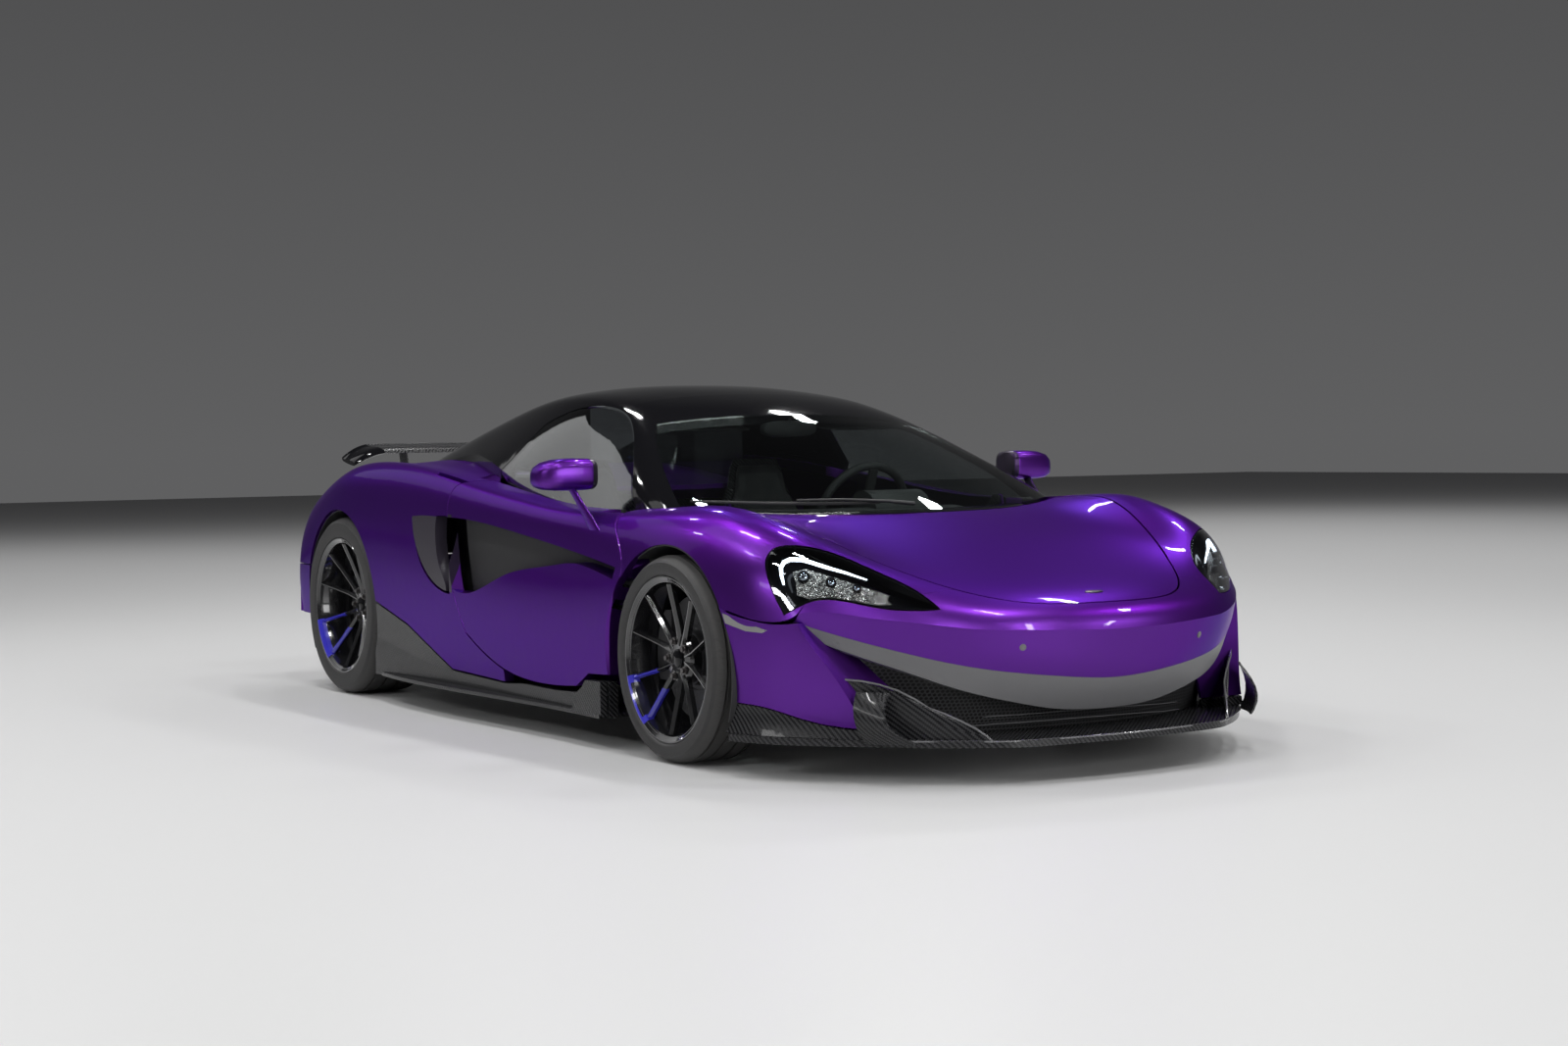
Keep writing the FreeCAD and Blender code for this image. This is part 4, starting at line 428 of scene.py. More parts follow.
for end, x, y, radius, width, bead, face, disc_back, disc in wheel_ends:
    for side, way in sides:
        axle = Vector((x, y * way, radius))
        body = "wheel_%s_%s" % (end, side)
        half = width / 2
        rubber = tyre_rubber("rubber_%s_%s" % (end, side), axle, radius, half, way)
        mesh = bmesh.new()
        wall = [(bead + 0.021, 0.005), (radius * 0.86, 0.001), (radius * 0.93, 0.003), (radius - 0.011, 0.015),
                (radius - 0.003, 0.034)]
        outline = [(r, inset - half) for r, inset in wall]
        for groove in (-0.62, -0.22, 0.22, 0.62):
            middle = groove * half
            outline += [(radius - 0.0005, middle - groove_mouth), (radius - groove_depth, middle - groove_foot),
                        (radius - groove_depth, middle + groove_foot), (radius - 0.0005, middle + groove_mouth)]
        outline += [(r, half - inset) for r, inset in reversed(wall)]
        inner = [(bead + 0.0178, 0.009), (bead + 0.0172, 0.0155), (bead + 0.0005, 0.0155)]
        outline += [(r, half - inset) for r, inset in inner] + [(r, inset - half) for r, inset in reversed(inner)]
        on_axle(mesh, outline, axle, way)
        tyre = piece(mesh, "tyre_%s_%s_tread" % (end, side), rubber, body)
        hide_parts("tyre_%s_%s" % (end, side))

        lip = half - 0.008
        seat = lip - 0.007
        drop = bead - 0.013
        black = wheel_lacquer("wheel_black_%s_%s" % (end, side), axle, face, lip, way)
        mesh = bmesh.new()
        barrel = [(bead + 0.017, lip - 0.002), (bead + 0.015, lip), (bead + 0.011, lip), (bead - 0.004, lip - 0.011),
                  (bead - 0.008, lip - 0.034), (drop - 0.008, lip - 0.070), (drop - 0.008, 0.044 - lip),
                  (bead - 0.008, -lip), (bead + 0.016, -lip), (bead + 0.016, -seat), (bead, -seat),
                  (bead, 0.026 - seat), (drop, 0.060 - seat), (drop, seat - 0.060), (bead, seat - 0.032),
                  (bead, seat), (bead + 0.016, seat)]
        on_axle(mesh, barrel, axle, way)
        hub = [(0.0301, face - 0.048), (0.078, face - 0.048), (0.078, face - 0.020), (0.070, face - 0.010),
               (0.044, face - 0.006), (0.036, face - 0.010), (0.0301, face - 0.010)]
        on_axle(mesh, hub, axle, way, 60)
        for pair in range(5):
            for swing in (-1, 1):
                rings = []
                for share, spread, wide, ridge in spoke_stations:
                    reach = 0.040 + (bead - 0.050) * share
                    front = face - 0.006 + (lip - face - 0.004) * share ** 1.25
                    heading = math.radians(pair * 72 + swing * spread)
                    out = Vector((math.cos(heading), 0, math.sin(heading)))
                    across = Vector((-math.sin(heading), 0, math.cos(heading)))
                    section = ((-ridge, 0), (ridge, 0), (wide, -0.010), (wide * 0.8, -0.026),
                               (-wide * 0.8, -0.026), (-wide, -0.010))
                    rings.append([axle + out * reach + across * sideways + Vector((0, (front + depth) * way, 0))
                                  for sideways, depth in section])
                loft(mesh, rings)
        rim = piece(mesh, "rim_%s_%s_forged" % (end, side), black, body, 30)
        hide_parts("rim_%s_%s" % (end, side))

        mesh = bmesh.new()
        cap = [(0.0002, face + 0.001), (0.020, face), (0.0245, face - 0.002), (0.0255, face - 0.004),
               (0.0275, face - 0.0035), (0.0295, face - 0.0045), (0.0298, face - 0.014), (0.0002, face - 0.014)]
        on_axle(mesh, cap, axle, way, 48)
        piece(mesh, "cap_%s_%s" % (end, side), gloss, body, 30)
        mesh = bmesh.new()
        for bolt in range(5):
            heading = math.radians(bolt * 72 + bolt_turn)
            spot = axle + Vector((bolt_circle * math.cos(heading), (face - 0.005) * way,
                                  bolt_circle * math.sin(heading)))
            turn_in = Matrix.Translation(spot) @ Matrix.Rotation(math.radians(90), 4, "X")
            for segments, foot, top, depth in ((24, 0.0125, 0.0125, 0.006), (6, 0.0095, 0.0085, 0.024)):
                bmesh.ops.create_cone(mesh, cap_ends=True, segments=segments, radius1=foot, radius2=top, depth=depth,
                                      matrix=turn_in)
        piece(mesh, "bolts_%s_%s" % (end, side), titanium, body, 30)

        mesh = bmesh.new()
        front = disc_back + disc_thickness
        plate = [(disc - 0.001, disc_back), (disc, disc_back + 0.001), (disc, disc_back + 0.012),
                 (disc - 0.004, disc_back + 0.014), (disc - 0.004, front - 0.014), (disc, front - 0.012),
                 (disc, front - 0.001), (disc - 0.001, front), (disc_bore, front), (disc_bore, disc_back)]
        on_axle(mesh, plate, axle, way)
        piece(mesh, "disc_%s_%s" % (end, side), drilled, body, 30)
        mesh = bmesh.new()
        bell = [(0.0995, disc_back + 0.010), (0.0995, front - 0.004), (0.086, front - 0.002), (0.084, face - 0.050),
                (0.034, face - 0.0485), (0.034, face - 0.058), (0.074, face - 0.060), (0.074, disc_back + 0.020)]
        on_axle(mesh, bell, axle, way, 60)
        piece(mesh, "bell_%s_%s" % (end, side), alloy, body, 30)

# The tail lamps are hooked red light strips along the tail mesh's upper corners, moulded in red plastic and ribbed
# behind a smooth lens.
lamp_red, sockets, place = finish("red_lens", (0.30, 0.006, 0.006), 0.12, Coat_Weight=1.0, Emission_Strength=1.4)
ribs = axes(place)[1] % 0.006 < 0.0045
feed(sockets["Emission Color"], tints(place, ribs, (0.18, 0.002, 0.002), (0.85, 0.018, 0.012)))
wear(lamp_red, "tail_lamps")

# The windscreen is clear laminated glass bonded into its frame, and the side and rear windows are lightly tinted. The
# headlamps have clear moulded lenses.


def glass(name, tint):
    """Thin glass: light goes straight through, tinted, and the faces mirror more at a low angle."""
    material, sockets, place = finish(name, (1, 1, 1), 0.0)
    tree = material.node_tree
    facing = place.node("LayerWeight", out=1, Blend=0.5)
    mirror = place.node("BsdfGlossy", Color=(1, 1, 1, 1), Roughness=0.01)
    clear = place.node("BsdfTransparent", Color=(*tint, 1))
    mixed = place.node("MixShader", Fac=0.06 + 0.9 * facing ** 4, at1=clear, at2=mirror)
    feed(tree.nodes["Material Output"].inputs["Surface"], mixed)
    tree.nodes.remove(tree.nodes["Principled BSDF"])
    return material


wear(glass("clear_glass", (0.80, 0.84, 0.83)), "windscreen")
wear(glass("tinted_glass", (0.70, 0.72, 0.73)), "door_glass_left", "door_glass_right", "rear_window")
wear(glass("lamp_lens", (0.95, 0.96, 0.98)), "headlamp_lenses")

# Each headlamp is a black bowl under its clear lens. A hooked white light guide runs along the bowl's outer and top
# edge, round a moulded silver reflector with three projector lenses in dark collars.


def mm(x, y, z, way=1):
    return Vector((x, y * way, z)) / 1000


def tube(mesh, path, steps=12, flat=1.0):
    """A round bar along a path of points with a radius each."""
    rings = []
    for i, (point, radius) in enumerate(path):
        ahead = (path[min(i + 1, len(path) - 1)][0] - path[max(i - 1, 0)][0]).normalized()
        first = ahead.cross(Vector((0, 0, 1))).normalized()
        second = ahead.cross(first)
        angles = [math.tau * k / steps for k in range(steps)]
        rings.append([point + (first * math.cos(a) + second * math.sin(a) * flat) * radius for a in angles])
    loft(mesh, rings)


light_guide, sockets, place = finish("light_guide", (0.9, 0.95, 1.0), 0.3, Emission_Strength=3.4)
feed(sockets["Emission Color"], tints(place, noise(place, 220.0, 1.0), (0.62, 0.82, 1.0), (1.0, 1.0, 1.0)))
silver, sockets, place = finish("moulded_reflector", (0.42, 0.41, 0.37), 0.22, Metallic=0.85)
facets = place.node("TexVoronoi", {"feature": "F1", "distance": "CHEBYCHEV"}, Vector=place, Scale=95.0)
fine = place.node("TexVoronoi", {"feature": "F1"}, Vector=place, Scale=260.0)
# Each facet is painted light at its middle and dark towards its edges: painted glints and shade on the facets.
feed(sockets["Base Color"], tints(place, facets * 1.4, (0.50, 0.49, 0.44), (0.10, 0.10, 0.09)))
feed(sockets["Normal"], bumps(place, facets + fine * 0.4, 0.006))
lens_glass, sockets, place = finish("projector_glass", (0.30, 0.33, 0.36), 0.02, Metallic=0.9, Coat_Weight=1.0,
                                    Coat_Roughness=0.0)
feed(sockets["Roughness"], noise(place, 90.0, 1.0) * 0.08)
guide_path = ((1759, 842, 568, 3), (1745, 841, 594, 5), (1733, 835, 616, 6), (1731, 823, 631, 6.5),
              (1740, 808, 639, 6.5), (1765, 783, 638, 6), (1790, 762, 629, 5.5), (1818, 737, 617, 5),
              (1861, 691, 599, 3.5), (1902, 648, 579, 2))
reflector_rows = (((1752, 808, 602), (1775, 776, 610), (1840, 716, 584), (1915, 652, 553), (1960, 610, 532)),
                  ((1768, 806, 572), (1800, 772, 572), (1856, 722, 556), (1916, 668, 538), (1966, 628, 521)),
                  ((1784, 812, 536), (1838, 772, 516), (1900, 716, 510), (1955, 655, 508), (1990, 620, 508)))
projector_eyes = ((1796, 798, 590, 0.017), (1856, 742, 574, 0.014), (1908, 688, 557, 0.012))
for side, way in sides:
    mesh = bmesh.new()
    tube(mesh, [(mm(x, y, z, way), r / 1000) for x, y, z, r in guide_path])
    piece(mesh, "light_guide_" + side, light_guide, "chassis")
    mesh = bmesh.new()
    chains = []
    for row in reflector_rows:
        verts = [mesh.verts.new(mm(x, y, z, way)) for x, y, z in row]
        chains.append([mesh.edges.new(pair) for pair in zip(verts, verts[1:])])
    for first, second in zip(chains, chains[1:]):
        bmesh.ops.bridge_loops(mesh, edges=first + second)
    bmesh.ops.subdivide_edges(mesh, edges=mesh.edges, cuts=3, use_grid_fill=True, smooth=0.5)
    bmesh.ops.solidify(mesh, geom=mesh.faces[:], thickness=0.003)
    piece(mesh, "reflector_" + side, silver, "chassis", 25)
    collars, eyes = bmesh.new(), bmesh.new()
    gaze = Vector((0.80, 0.52 * way, 0.30)).normalized()
    facing = gaze.to_track_quat("Z", "Y").to_matrix().to_4x4()
    for x, y, z, r in projector_eyes:
        spot = Matrix.Translation(mm(x, y, z, way)) @ facing
        bmesh.ops.create_uvsphere(eyes, u_segments=32, v_segments=16, radius=r * 0.82,
                                  matrix=spot @ Matrix.Diagonal((1, 1, 0.55, 1)))
        collar = ((0.84 * r, -0.010), (1.05 * r, -0.012), (1.12 * r, 0.004), (1.0 * r, 0.007), (0.84 * r, 0.005))
        turned(collars, [spot @ Vector((a, 0, b)) for a, b in collar], spot.translation, gaze, 40)
    piece(collars, "collars_" + side, gloss, "chassis")
    piece(eyes, "projectors_" + side, lens_glass, "chassis")

# The door mirrors: a lacquered shell squared off towards the cabin, the glass in a black bezel, and a thin blade down
# to the door that carries it.
mirror_glass, sockets, place = finish("mirror_glass", (0.55, 0.57, 0.60), 0.03, Metallic=1.0)
feed(sockets["Roughness"], 0.01 + noise(place, 20.0, 1.0) * 0.03)


def rounded(centre, first, second, power=2.6, count=28):
    """Points of a rounded oblong ring about a centre, spanned by two half widths."""
    ring = []
    for k in range(count):
        u, v = math.cos(math.tau * k / count), math.sin(math.tau * k / count)
        ring.append(centre + first * math.copysign(abs(u) ** (2 / power), u)
                    + second * math.copysign(abs(v) ** (2 / power), v))
    return ring


shell_rings = ((857, 592, 884, 44, 36), (858, 592, 884, 56, 46), (864, 591, 884, 61, 50), (885, 590, 884, 64, 52),
               (935, 588, 884, 66, 53), (985, 585, 883, 65, 51), (1022, 581, 880, 59, 45), (1042, 577, 877, 49, 35),
               (1051, 574, 874, 36, 24), (1055, 572, 873, 20, 12))
stalk_rings = ((744, 921, 704, 38, 7), (716, 925, 734, 33, 7), (674, 930, 778, 27, 7), (634, 935, 818, 23, 8),
               (606, 940, 848, 22, 9))
bezel_rings = ((548, 0), (524, 0), (522, 2), (523, 4), (530, 5))
for side, way in sides:
    body = "door_" + side
    mesh = bmesh.new()
    loft(mesh, [rounded(mm(x, y, z, way), mm(a, 0, 0), mm(0, 0, b), 3.4) for y, x, z, a, b in shell_rings])
    loft(mesh, [rounded(mm(x, y, z, way), mm(a, 0, 0), mm(0, b, 0), 2.2, 20) for x, y, z, a, b in stalk_rings])
    shell = piece(mesh, "mirror_shell_" + side, paint, body, 50)
    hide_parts("mirror_" + side)
    mesh = bmesh.new()
    loft(mesh, [rounded(mm(x, 952, 884, way), mm(0, 82 - e, 0), mm(0, 0, 37 - e), 3.0) for x, e in bezel_rings])
    piece(mesh, "mirror_bezel_" + side, gloss, body)
    mesh = bmesh.new()
    loft(mesh, [rounded(mm(x, 952, 884, way), mm(0, 77, 0), mm(0, 0, 32), 3.0) for x in (536, 525)])
    piece(mesh, "mirror_glass_" + side, mirror_glass, body)

# The rear wing is a moulded carbon blade with gloss-black ends that curl down, on two carbon uprights bolted to the
# deck. The outline is in shares of the chord along, and in metres up.
blade = ((0.0, 0.0), (0.06, 0.011), (0.2, 0.019), (0.45, 0.021), (0.75, 0.018), (0.95, 0.020), (1.0, 0.024),
         (1.0, 0.012), (0.9, 0.004), (0.65, -0.002), (0.35, -0.006), (0.12, -0.006), (0.03, -0.004))
upright = ((0, 0.352), (0.035, 0.349), (0.078, 0.352), (0.078, 0.358), (0.035, 0.361), (0, 0.358))
upright_stations = ((-2.132, 0.866), (-2.150, 0.905), (-2.168, 0.962))
blade_half = 0.456


def blade_ring(y):
    """The blade's outline at y: past 0.44 m it falls, thins and draws in."""
    drop = max(0.0, (abs(y) - 0.44) / 0.13)
    front = -2.084 - 0.055 * drop ** 3
    chord = 0.212 - 0.060 * drop ** 3
    rise = 0.958 - 0.050 * drop ** 2
    return [Vector((front - chord * u, y, rise + v * (1 - 0.25 * drop) + 0.016 * u)) for u, v in blade]


mesh = bmesh.new()
loft(mesh, [blade_ring(-blade_half + 2 * blade_half * k / 16) for k in range(17)])
for side, way in sides:
    loft(mesh, [[Vector((x + dx, y * way, z)) for dx, y in upright] for x, z in upright_stations])
wing = piece(mesh, "wing_blade", carbon, "chassis")
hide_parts("rear_wing")
mesh = bmesh.new()
for side, way in sides:
    loft(mesh, [blade_ring(y * way) for y in (0.4565, 0.48, 0.50, 0.52, 0.54, 0.555, 0.566, 0.5725)])
piece(mesh, "wing_ends", gloss, "chassis")

# Clear ribbed side markers are let into the bumper ahead of the front wheels, and four round grey parking sensors sit
# flush in the nose. A bare oval titanium plate lies on the bonnet.
marker_lens, sockets, place = finish("marker_lens", (0.20, 0.20, 0.20), 0.25, Coat_Weight=1.0)
feed(sockets["Normal"], bumps(place, axes(place)[0] % 0.004 > 0.002, 0.0004))
marker = ((1572, 938, 480), (1744, 894, 437), (1730, 898, 429), (1670, 918, 432), (1584, 936, 451))
for side, way in sides:
    mesh = bmesh.new()
    loft(mesh, [[mm(x, y + out, z, way) for x, y, z in marker] for out in (-4, 2.2)])
    piece(mesh, "side_marker_" + side, marker_lens, "chassis")
mesh = bmesh.new()
for side, way in sides:
    for spot, face in (((1889, 750, 399), (0.56, 0.76, -0.32)), ((2222, 332, 387), (0.92, 0.30, -0.24))):
        look = Vector((face[0], face[1] * way, face[2]))
        sunk = Matrix.Translation(mm(*spot, way)) @ look.to_track_quat("Z", "Y").to_matrix().to_4x4()
        for foot, top, depth in ((0.0105, 0.0100, 0.003), (0.0080, 0.0065, 0.0055)):
            bmesh.ops.create_cone(mesh, cap_ends=True, segments=40, radius1=foot, radius2=top, depth=depth, matrix=sunk)
piece(mesh, "parking_sensors", satin, "chassis", 25)
mesh = bmesh.new()
plate_across, plate_down, plate_out = 0.034, Vector((-1.255, 0, 0.29)) * 0.0065, Vector((0.3, 0, 0.955))
angles = [math.tau * i / 40 for i in range(40)]
loft(mesh, [[mm(2137, 0, 527) + (plate_down * math.sin(a) + Vector((0, plate_across * math.cos(a), 0))) * k
             + plate_out * h for a in angles] for k, h in ((1.0, -0.004), (1.0, 0.0012), (0.93, 0.0020))])
piece(mesh, "bonnet_plate", titanium, "bonnet")

# The one wiper lies on the cowl below the screen: a flat tapered arm on a spindle near the middle of the cowl, and a
# thin blade across its end, both moulded black.
wiper_blade = ((978, -700, 795, 0.004), (1030, -600, 790, 0.0055), (1075, -470, 784, 0.006), (1110, -330, 780, 0.006),
               (1132, -200, 778, 0.0055), (1142, -80, 777, 0.004))
wiper_arm = ((1163, 40, 772, 0.013), (1158, -60, 782, 0.010), (1140, -220, 791, 0.008), (1108, -380, 792, 0.006))
mesh = bmesh.new()
tube(mesh, [(mm(x, y, z), r) for x, y, z, r in wiper_blade], 10)
tube(mesh, [(mm(x, y, z), r) for x, y, z, r in wiper_arm], 10, 0.6)
piece(mesh, "wiper", mould, "chassis")

# Thin lacquered beads finish the carbon splitter: along its front edge, round the upswept vanes at its ends and across
# the chin. A thin curled carbon winglet stands outside each vane.
edging, sockets, place = finish("lacquered_edging", (0.11, 0.11, 0.115), 0.2, Coat_Weight=1.0, Coat_Roughness=0.02)
feed(sockets["Roughness"], 0.14 + noise(place, 300.0, 2.0) * 0.16)
front_bead = ((2000, -702), (2070, -634), (2140, -552), (2226, -440), (2256, -390), (2272, -315), (2287, -210),
              (2298, -105), (2302, 0), (2298, 105), (2287, 210), (2272, 315), (2256, 390), (2226, 440), (2140, 552),
              (2070, 634), (2000, 702))
vane_bead = ((2222, 444, 128), (2208, 456, 143), (2184, 476, 163), (2150, 503, 183), (2112, 534, 203),
             (2080, 560, 216), (2052, 594, 244), (2025, 629, 267), (1990, 670, 284), (1955, 705, 294),
             (1892, 764, 300))
chin_bead = ((2022, -400, 170), (2056, -328, 174), (2085, -240, 176), (2099, -152, 177), (2106, -40, 177),
             (2106, 77, 176), (2090, 220, 172), (2068, 320, 167), (2020, 418, 162))
mesh = bmesh.new()
tube(mesh, [(mm(x, y, 126), 0.0028) for x, y in front_bead], 10)
for side, way in sides:
    tube(mesh, [(mm(x, y, z, way), 0.0032) for x, y, z in vane_bead], 10)
for drop, out in ((0, 0), (22, 8)):
    tube(mesh, [(mm(x + out, y, z - drop), 0.003) for x, y, z in chin_bead], 10, 0.6)
piece(mesh, "splitter_beads", edging, "chassis")
# A winglet's height, and the front, middle and rear of its bow there.
winglet = ((118, (2128, 630), (2062, 690), (1985, 718)), (128, (2122, 646), (2060, 700), (1985, 724)),
           (150, (2097, 684), (2045, 722), (1984, 740)), (172, (2079, 702), (2037, 731), (1982, 748)),
           (195, (2066, 706), (2028, 735), (1978, 752)), (220, (2054, 700), (2018, 730), (1973, 750)),
           (243, (2045, 687), (2010, 717), (1968, 743)), (264, (2037, 668), (2004, 702), (1964, 733)))
mesh = bmesh.new()
for side, way in sides:
    rings = []
    for z, front, middle, rear in winglet:
        bow = []
        for step in range(9):
            t = step / 8
            bow.append([front[i] * (1 - t) ** 2 + 2 * middle[i] * t * (1 - t) + rear[i] * t * t for i in (0, 1)])
        rings.append([mm(x, y, z, way) for x, y in bow] + [mm(x - 2, y - 6, z, way) for x, y in reversed(bow)])
    loft(mesh, rings)
piece(mesh, "splitter_winglets", carbon, "chassis", 40)

# Each seat is a thin carbon shell on the tub's floor with one leather pad below and one behind, swollen over a soft
# filling, with firm bolsters at the sides and sewn channels down the middle. The headrest is the top of the shell.
leather = tanned("seat_leather", (0.03, 0.03, 0.032), 430.0, 18.0,
                 (0.020, 0.020, 0.021), (0.060, 0.058, 0.058), 0.40, 0.0016)
seat_middle = 375
cell = 0.006
swell_pressure, swell_moments, swell_most = 4, 20, 0.006
pad_top = ((-1, 0.2), (-0.95, 0.75), (-0.84, 1), (-0.7, 0.75), (-0.56, 0.25), (-0.3, 0), (0, 0), (0.3, 0),
           (0.56, 0.25), (0.7, 0.75), (0.84, 1), (0.95, 0.75), (1, 0.2))


def leaning(degrees):
    return Vector((math.cos(math.radians(degrees)), 0, math.sin(math.radians(degrees))))


def settled(made):
    """Applies an object's modifiers."""
    done = bpy.data.meshes.new_from_object(made.evaluated_get(bpy.context.evaluated_depsgraph_get()))
    made.modifiers.clear()
    made.data = done
    return done.vertices


def pad(name, stations):
    """A closed form lofted along the seat, remeshed, swollen by cloth under pressure and held to a largest move."""
    mesh = bmesh.new()
    rings = []
    for x, z, lean, half, thick, bolster in stations:
        ring = [mm(x, seat_middle + half * share, z) + leaning(lean) * (thick + bolster * lift) / 1000
                for share, lift in pad_top]
        ring += [mm(x, seat_middle + half * share, z) for share in (0.97, 0.5, 0, -0.5, -0.97)]
        rings.append(ring)
    loft(mesh, rings)
    bmesh.ops.recalc_face_normals(mesh, faces=mesh.faces)
    data = bpy.data.meshes.new(name)
    mesh.to_mesh(data)
    mesh.free()
    made = bpy.data.objects.new(name, data)
    bpy.context.scene.collection.objects.link(made)
    made.modifiers.new("remesh", "REMESH").voxel_size = cell
    start = [vert.co.copy() for vert in settled(made)]
    cloth = made.modifiers.new("cloth", "CLOTH")
    cloth.settings.use_pressure = True
    cloth.settings.uniform_pressure_force = swell_pressure
    cloth.settings.effector_weights.gravity = 0
    for moment in range(1, swell_moments + 1):
        bpy.context.scene.frame_set(moment)
    for vert, was in zip(settled(made), start):
        move = vert.co - was
        vert.co = was + move * min(1.0, swell_most / max(move.length, 1e-9))
    bpy.context.scene.frame_set(1)
    return made


# A pad's stations: its place along and up, its lean, its half width, its thickness and its bolsters' height.
squab = pad("squab_left", (
    (-150, 240, 84, 150, 14, 14), (-120, 232, 88, 176, 26, 34), (-40, 232, 92, 184, 26, 40), (80, 246, 97, 186, 28, 36),
    (200, 268, 96, 186, 30, 26), (290, 264, 86, 182, 30, 20), (338, 256, 70, 172, 26, 14), (352, 240, 50, 150, 8, 8)))
backrest = pad("backrest_left", (
    (-222, 262, 20, 140, 14, 16), (-238, 300, 16, 178, 30, 46), (-272, 400, 14, 192, 30, 56),
    (-306, 520, 12, 198, 28, 54), (-332, 640, 12, 192, 26, 40), (-350, 720, 10, 158, 24, 18),
    (-358, 790, 8, 118, 24, 8), (-366, 862, 8, 104, 24, 4), (-370, 896, 8, 88, 12, 2)))
# The sewn channels: their lines across the pad, how wide and deep they are, and where on each pad they run.
channels, channel_width, channel_depth = (-0.105, -0.063, -0.021, 0.021, 0.063, 0.105), 0.005, 0.0045
for cushion, rear, front, top, into in ((squab, -0.10, 0.30, math.inf, Vector((0, 0, -1))),
                                        (backrest, -0.40, 0.20, 0.70, Vector((-1, 0, 0)))):
    for vert in cushion.data.vertices:
        aside = vert.co.y - seat_middle / 1000
        outer = vert.normal.dot(into) < -0.5 and rear < vert.co.x < front and vert.co.z < top
        if outer and abs(aside) < 0.115:
            nearest = min(abs(aside - line) for line in channels)
            vert.co += into * channel_depth * math.exp(-((nearest / channel_width) ** 2))
for left in (squab, backrest):
    data = left.data.copy()
    data.transform(Matrix.Diagonal((1, -1, 1, 1)))
    data.flip_normals()
    for cushion in (left, bpy.data.objects.new(left.name.replace("left", "right"), data)):
        if cushion is not left:
            bpy.context.scene.collection.objects.link(cushion)
        cushion.data.materials.clear()
        cushion.data.materials.append(leather)
        cushion.data.shade_smooth()
        smooth = cushion.modifiers.new("smooth", "SUBSURF")
        smooth.levels = smooth.render_levels = 1
        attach(cushion, "chassis")
        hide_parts("seats")
shell_stations = (
    (352, 214, 90, 150, 20), (345, 208, 90, 180, 44), (230, 206, 90, 205, 56), (60, 198, 90, 212, 46),
    (-90, 196, 90, 214, 45), (-190, 214, 66, 214, 44), (-256, 300, 28, 216, 40), (-292, 420, 16, 219, 34),
    (-326, 540, 13, 221, 27), (-352, 660, 12, 206, 22), (-366, 740, 10, 168, 18), (-373, 810, 8, 132, 15),
    (-380, 880, 8, 116, 12), (-382, 916, 8, 96, 8))
mesh = bmesh.new()
for side, way in sides:
    loft(mesh, [rounded(mm(x, seat_middle, z, way), mm(0, half, 0), leaning(lean) * thick / 1000, 3.4, 36)
                for x, z, lean, half, thick in shell_stations])
shells = piece(mesh, "seat_shells", carbon, "chassis", 40)
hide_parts("seats")

# Behind the screen hang the driving mirror, a black moulded housing on its stalk, and two folded sun visors, boards
# covered in the cabin's hide. They are fixed to the head of the screen frame.
mirror_rings = ((512, 92, 16), (508, 108, 26), (496, 112, 29), (484, 112, 29), (480, 108, 26))
visor_rings = ((318, 1043, 150, 0.3), (324, 1043, 165, 0.6), (390, 1037, 168, 0.6), (446, 1027, 165, 0.6),
               (452, 1026, 150, 0.3))
mesh = bmesh.new()
loft(mesh, [rounded(mm(x, -20, 1026), mm(0, w, 0), mm(0, 0, h), 2.8) for x, w, h in mirror_rings])
tube(mesh, [(mm(500, -20, 1040), 0.008), (mm(505, -20, 1062), 0.006)], 12)
piece(mesh, "driving_mirror", mould, "chassis")
mesh = bmesh.new()
loft(mesh, [rounded(mm(x, -20, 1026), mm(0, 106, 0), mm(0, 0, 24), 2.8) for x in (481, 479)])
piece(mesh, "driving_mirror_glass", mirror_glass, "chassis")
mesh = bmesh.new()
for side, way in sides:
    loft(mesh, [rounded(mm(x, 315, z, way), mm(0, w, 0), mm(4, 0, 11) * t, 3.0) for x, z, w, t in visor_rings])
piece(mesh, "sun_visors", hide, "chassis", 40)

# On the deck behind the engine lies a black lacquered cover of nine slanted slats in a frame, which falls to the rear
# with the deck.
slat = ((18, -6), (20, -3), (-16, 13), (-20, 12), (-16, 8))
slat_step, slat_half, rail_y, rail_ends, bar = 46, 252, 262, (-1392, -1828), 12


def deck_fall(x):
    return 0.028 * (-1300 - x)


mesh = bmesh.new()
for number in range(9):
    x = -1420 - slat_step * number
    z = 905 - deck_fall(x)
    loft(mesh, [[mm(x + a, y, z + b) for a, b in slat] for y in (-slat_half, slat_half)])
for y in (-rail_y, rail_y):
    loft(mesh, [rounded(mm(x, y, 904 - deck_fall(x)), mm(0, bar, 0), mm(0, 0, bar), 4.0, 20)
                for x in (-1392, -1396, -1824, -1828)])
for x in rail_ends:
    loft(mesh, [rounded(mm(x, y, 904 - deck_fall(x)), mm(bar, 0, 0), mm(0, 0, bar), 4.0, 20)
                for y in (-rail_y, rail_y)])
piece(mesh, "deck_louvres", gloss, "chassis", 30)

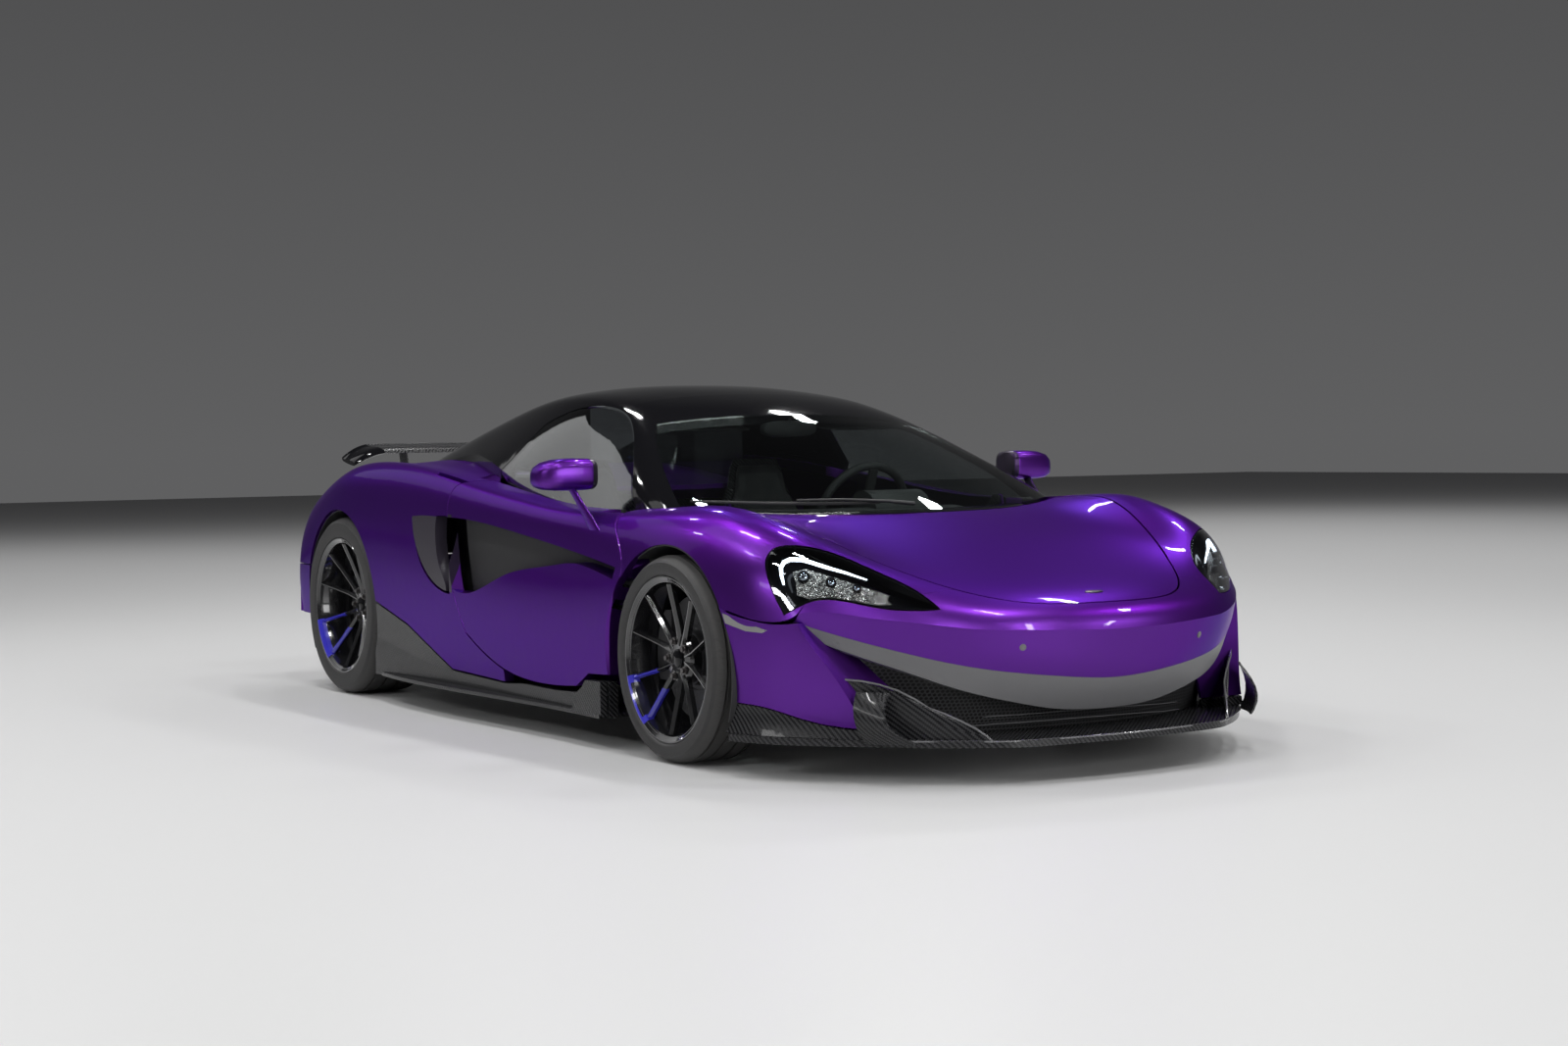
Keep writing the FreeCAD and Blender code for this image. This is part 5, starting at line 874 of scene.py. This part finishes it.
# Two round titanium outlets come up through the deck behind the cover, blued by heat towards their rims. Each has a
# rolled mouth and a collar where it passes the deck.
heated, sockets, place = finish("blued_titanium", (0.30, 0.25, 0.28), 0.26, Metallic=1.0)
streak = noise(place, 180.0, 2.0)
blueing = ((0.0, (0.20, 0.18, 0.17, 1)), (0.45, (0.34, 0.22, 0.12, 1)), (0.72, (0.22, 0.10, 0.26, 1)),
           (1.0, (0.06, 0.10, 0.32, 1)))
heat = (axes(place)[2] - 0.86) * 18.0 + (streak - 0.5) * 0.3
feed(sockets["Base Color"], place.node("ValToRGB", {"stops": blueing}, Fac=heat))
feed(sockets["Roughness"], 0.18 + streak * 0.2)
outlet = ((0.0405, 0.190), (0.0405, 0.286), (0.0430, 0.2915), (0.0465, 0.2915), (0.0480, 0.287), (0.0475, 0.240),
          (0.0462, 0.190))
collar = ((0.0500, 0.236), (0.0500, 0.262), (0.0530, 0.266), (0.0640, 0.262), (0.0660, 0.236))
way_up = Vector((-0.35, 0, 0.94)).normalized()
mesh = bmesh.new()
for y in (-0.095, 0.095):
    foot = Vector((-1.970, y, 0.640))
    for outline in (outlet, collar):
        turned(mesh, [foot + Vector((0, radius, 0)) + way_up * reach for radius, reach in outline], foot, way_up, 64)
piece(mesh, "exhaust_tips", heated, "chassis", 30)

# Under the tail mesh is the bare plate holder, a black moulding with a raised rim, and the two titanium screws that
# fix it.
holder_rings = ((-2196, 262, 58), (-2204, 262, 58), (-2206, 260, 56), (-2206, 254, 50), (-2203, 252, 48))
mesh = bmesh.new()
loft(mesh, [rounded(mm(x, 0, 424), mm(0, w, 0), mm(0, 0, h), 9.0, 40) for x, w, h in holder_rings])
piece(mesh, "plate_holder", mould, "chassis", 30)
mesh = bmesh.new()
for y in (-100, 100):
    driven = Matrix.Translation(mm(-2205, y, 424)) @ Matrix.Rotation(math.radians(-90), 4, "Y")
    bmesh.ops.create_cone(mesh, cap_ends=True, segments=32, radius1=0.0060, radius2=0.0052, depth=0.005, matrix=driven)
piece(mesh, "plate_screws", titanium, "chassis", 30)

# The studio's floor is one wide pale sheet, smooth and slightly glossy. It is a stage that the car stands on and no part
# of the car.
floor_mesh = bmesh.new()
bmesh.ops.create_grid(floor_mesh, x_segments=1, y_segments=1, size=40.0)
floor_data = bpy.data.meshes.new("floor")
floor_mesh.to_mesh(floor_data)
floor_mesh.free()
floor = bpy.data.objects.new("floor", floor_data)
bpy.context.scene.collection.objects.link(floor)
pale, sockets, place = finish("pale_floor", (0.60, 0.60, 0.60), 0.35)
floor_data.materials.append(pale)
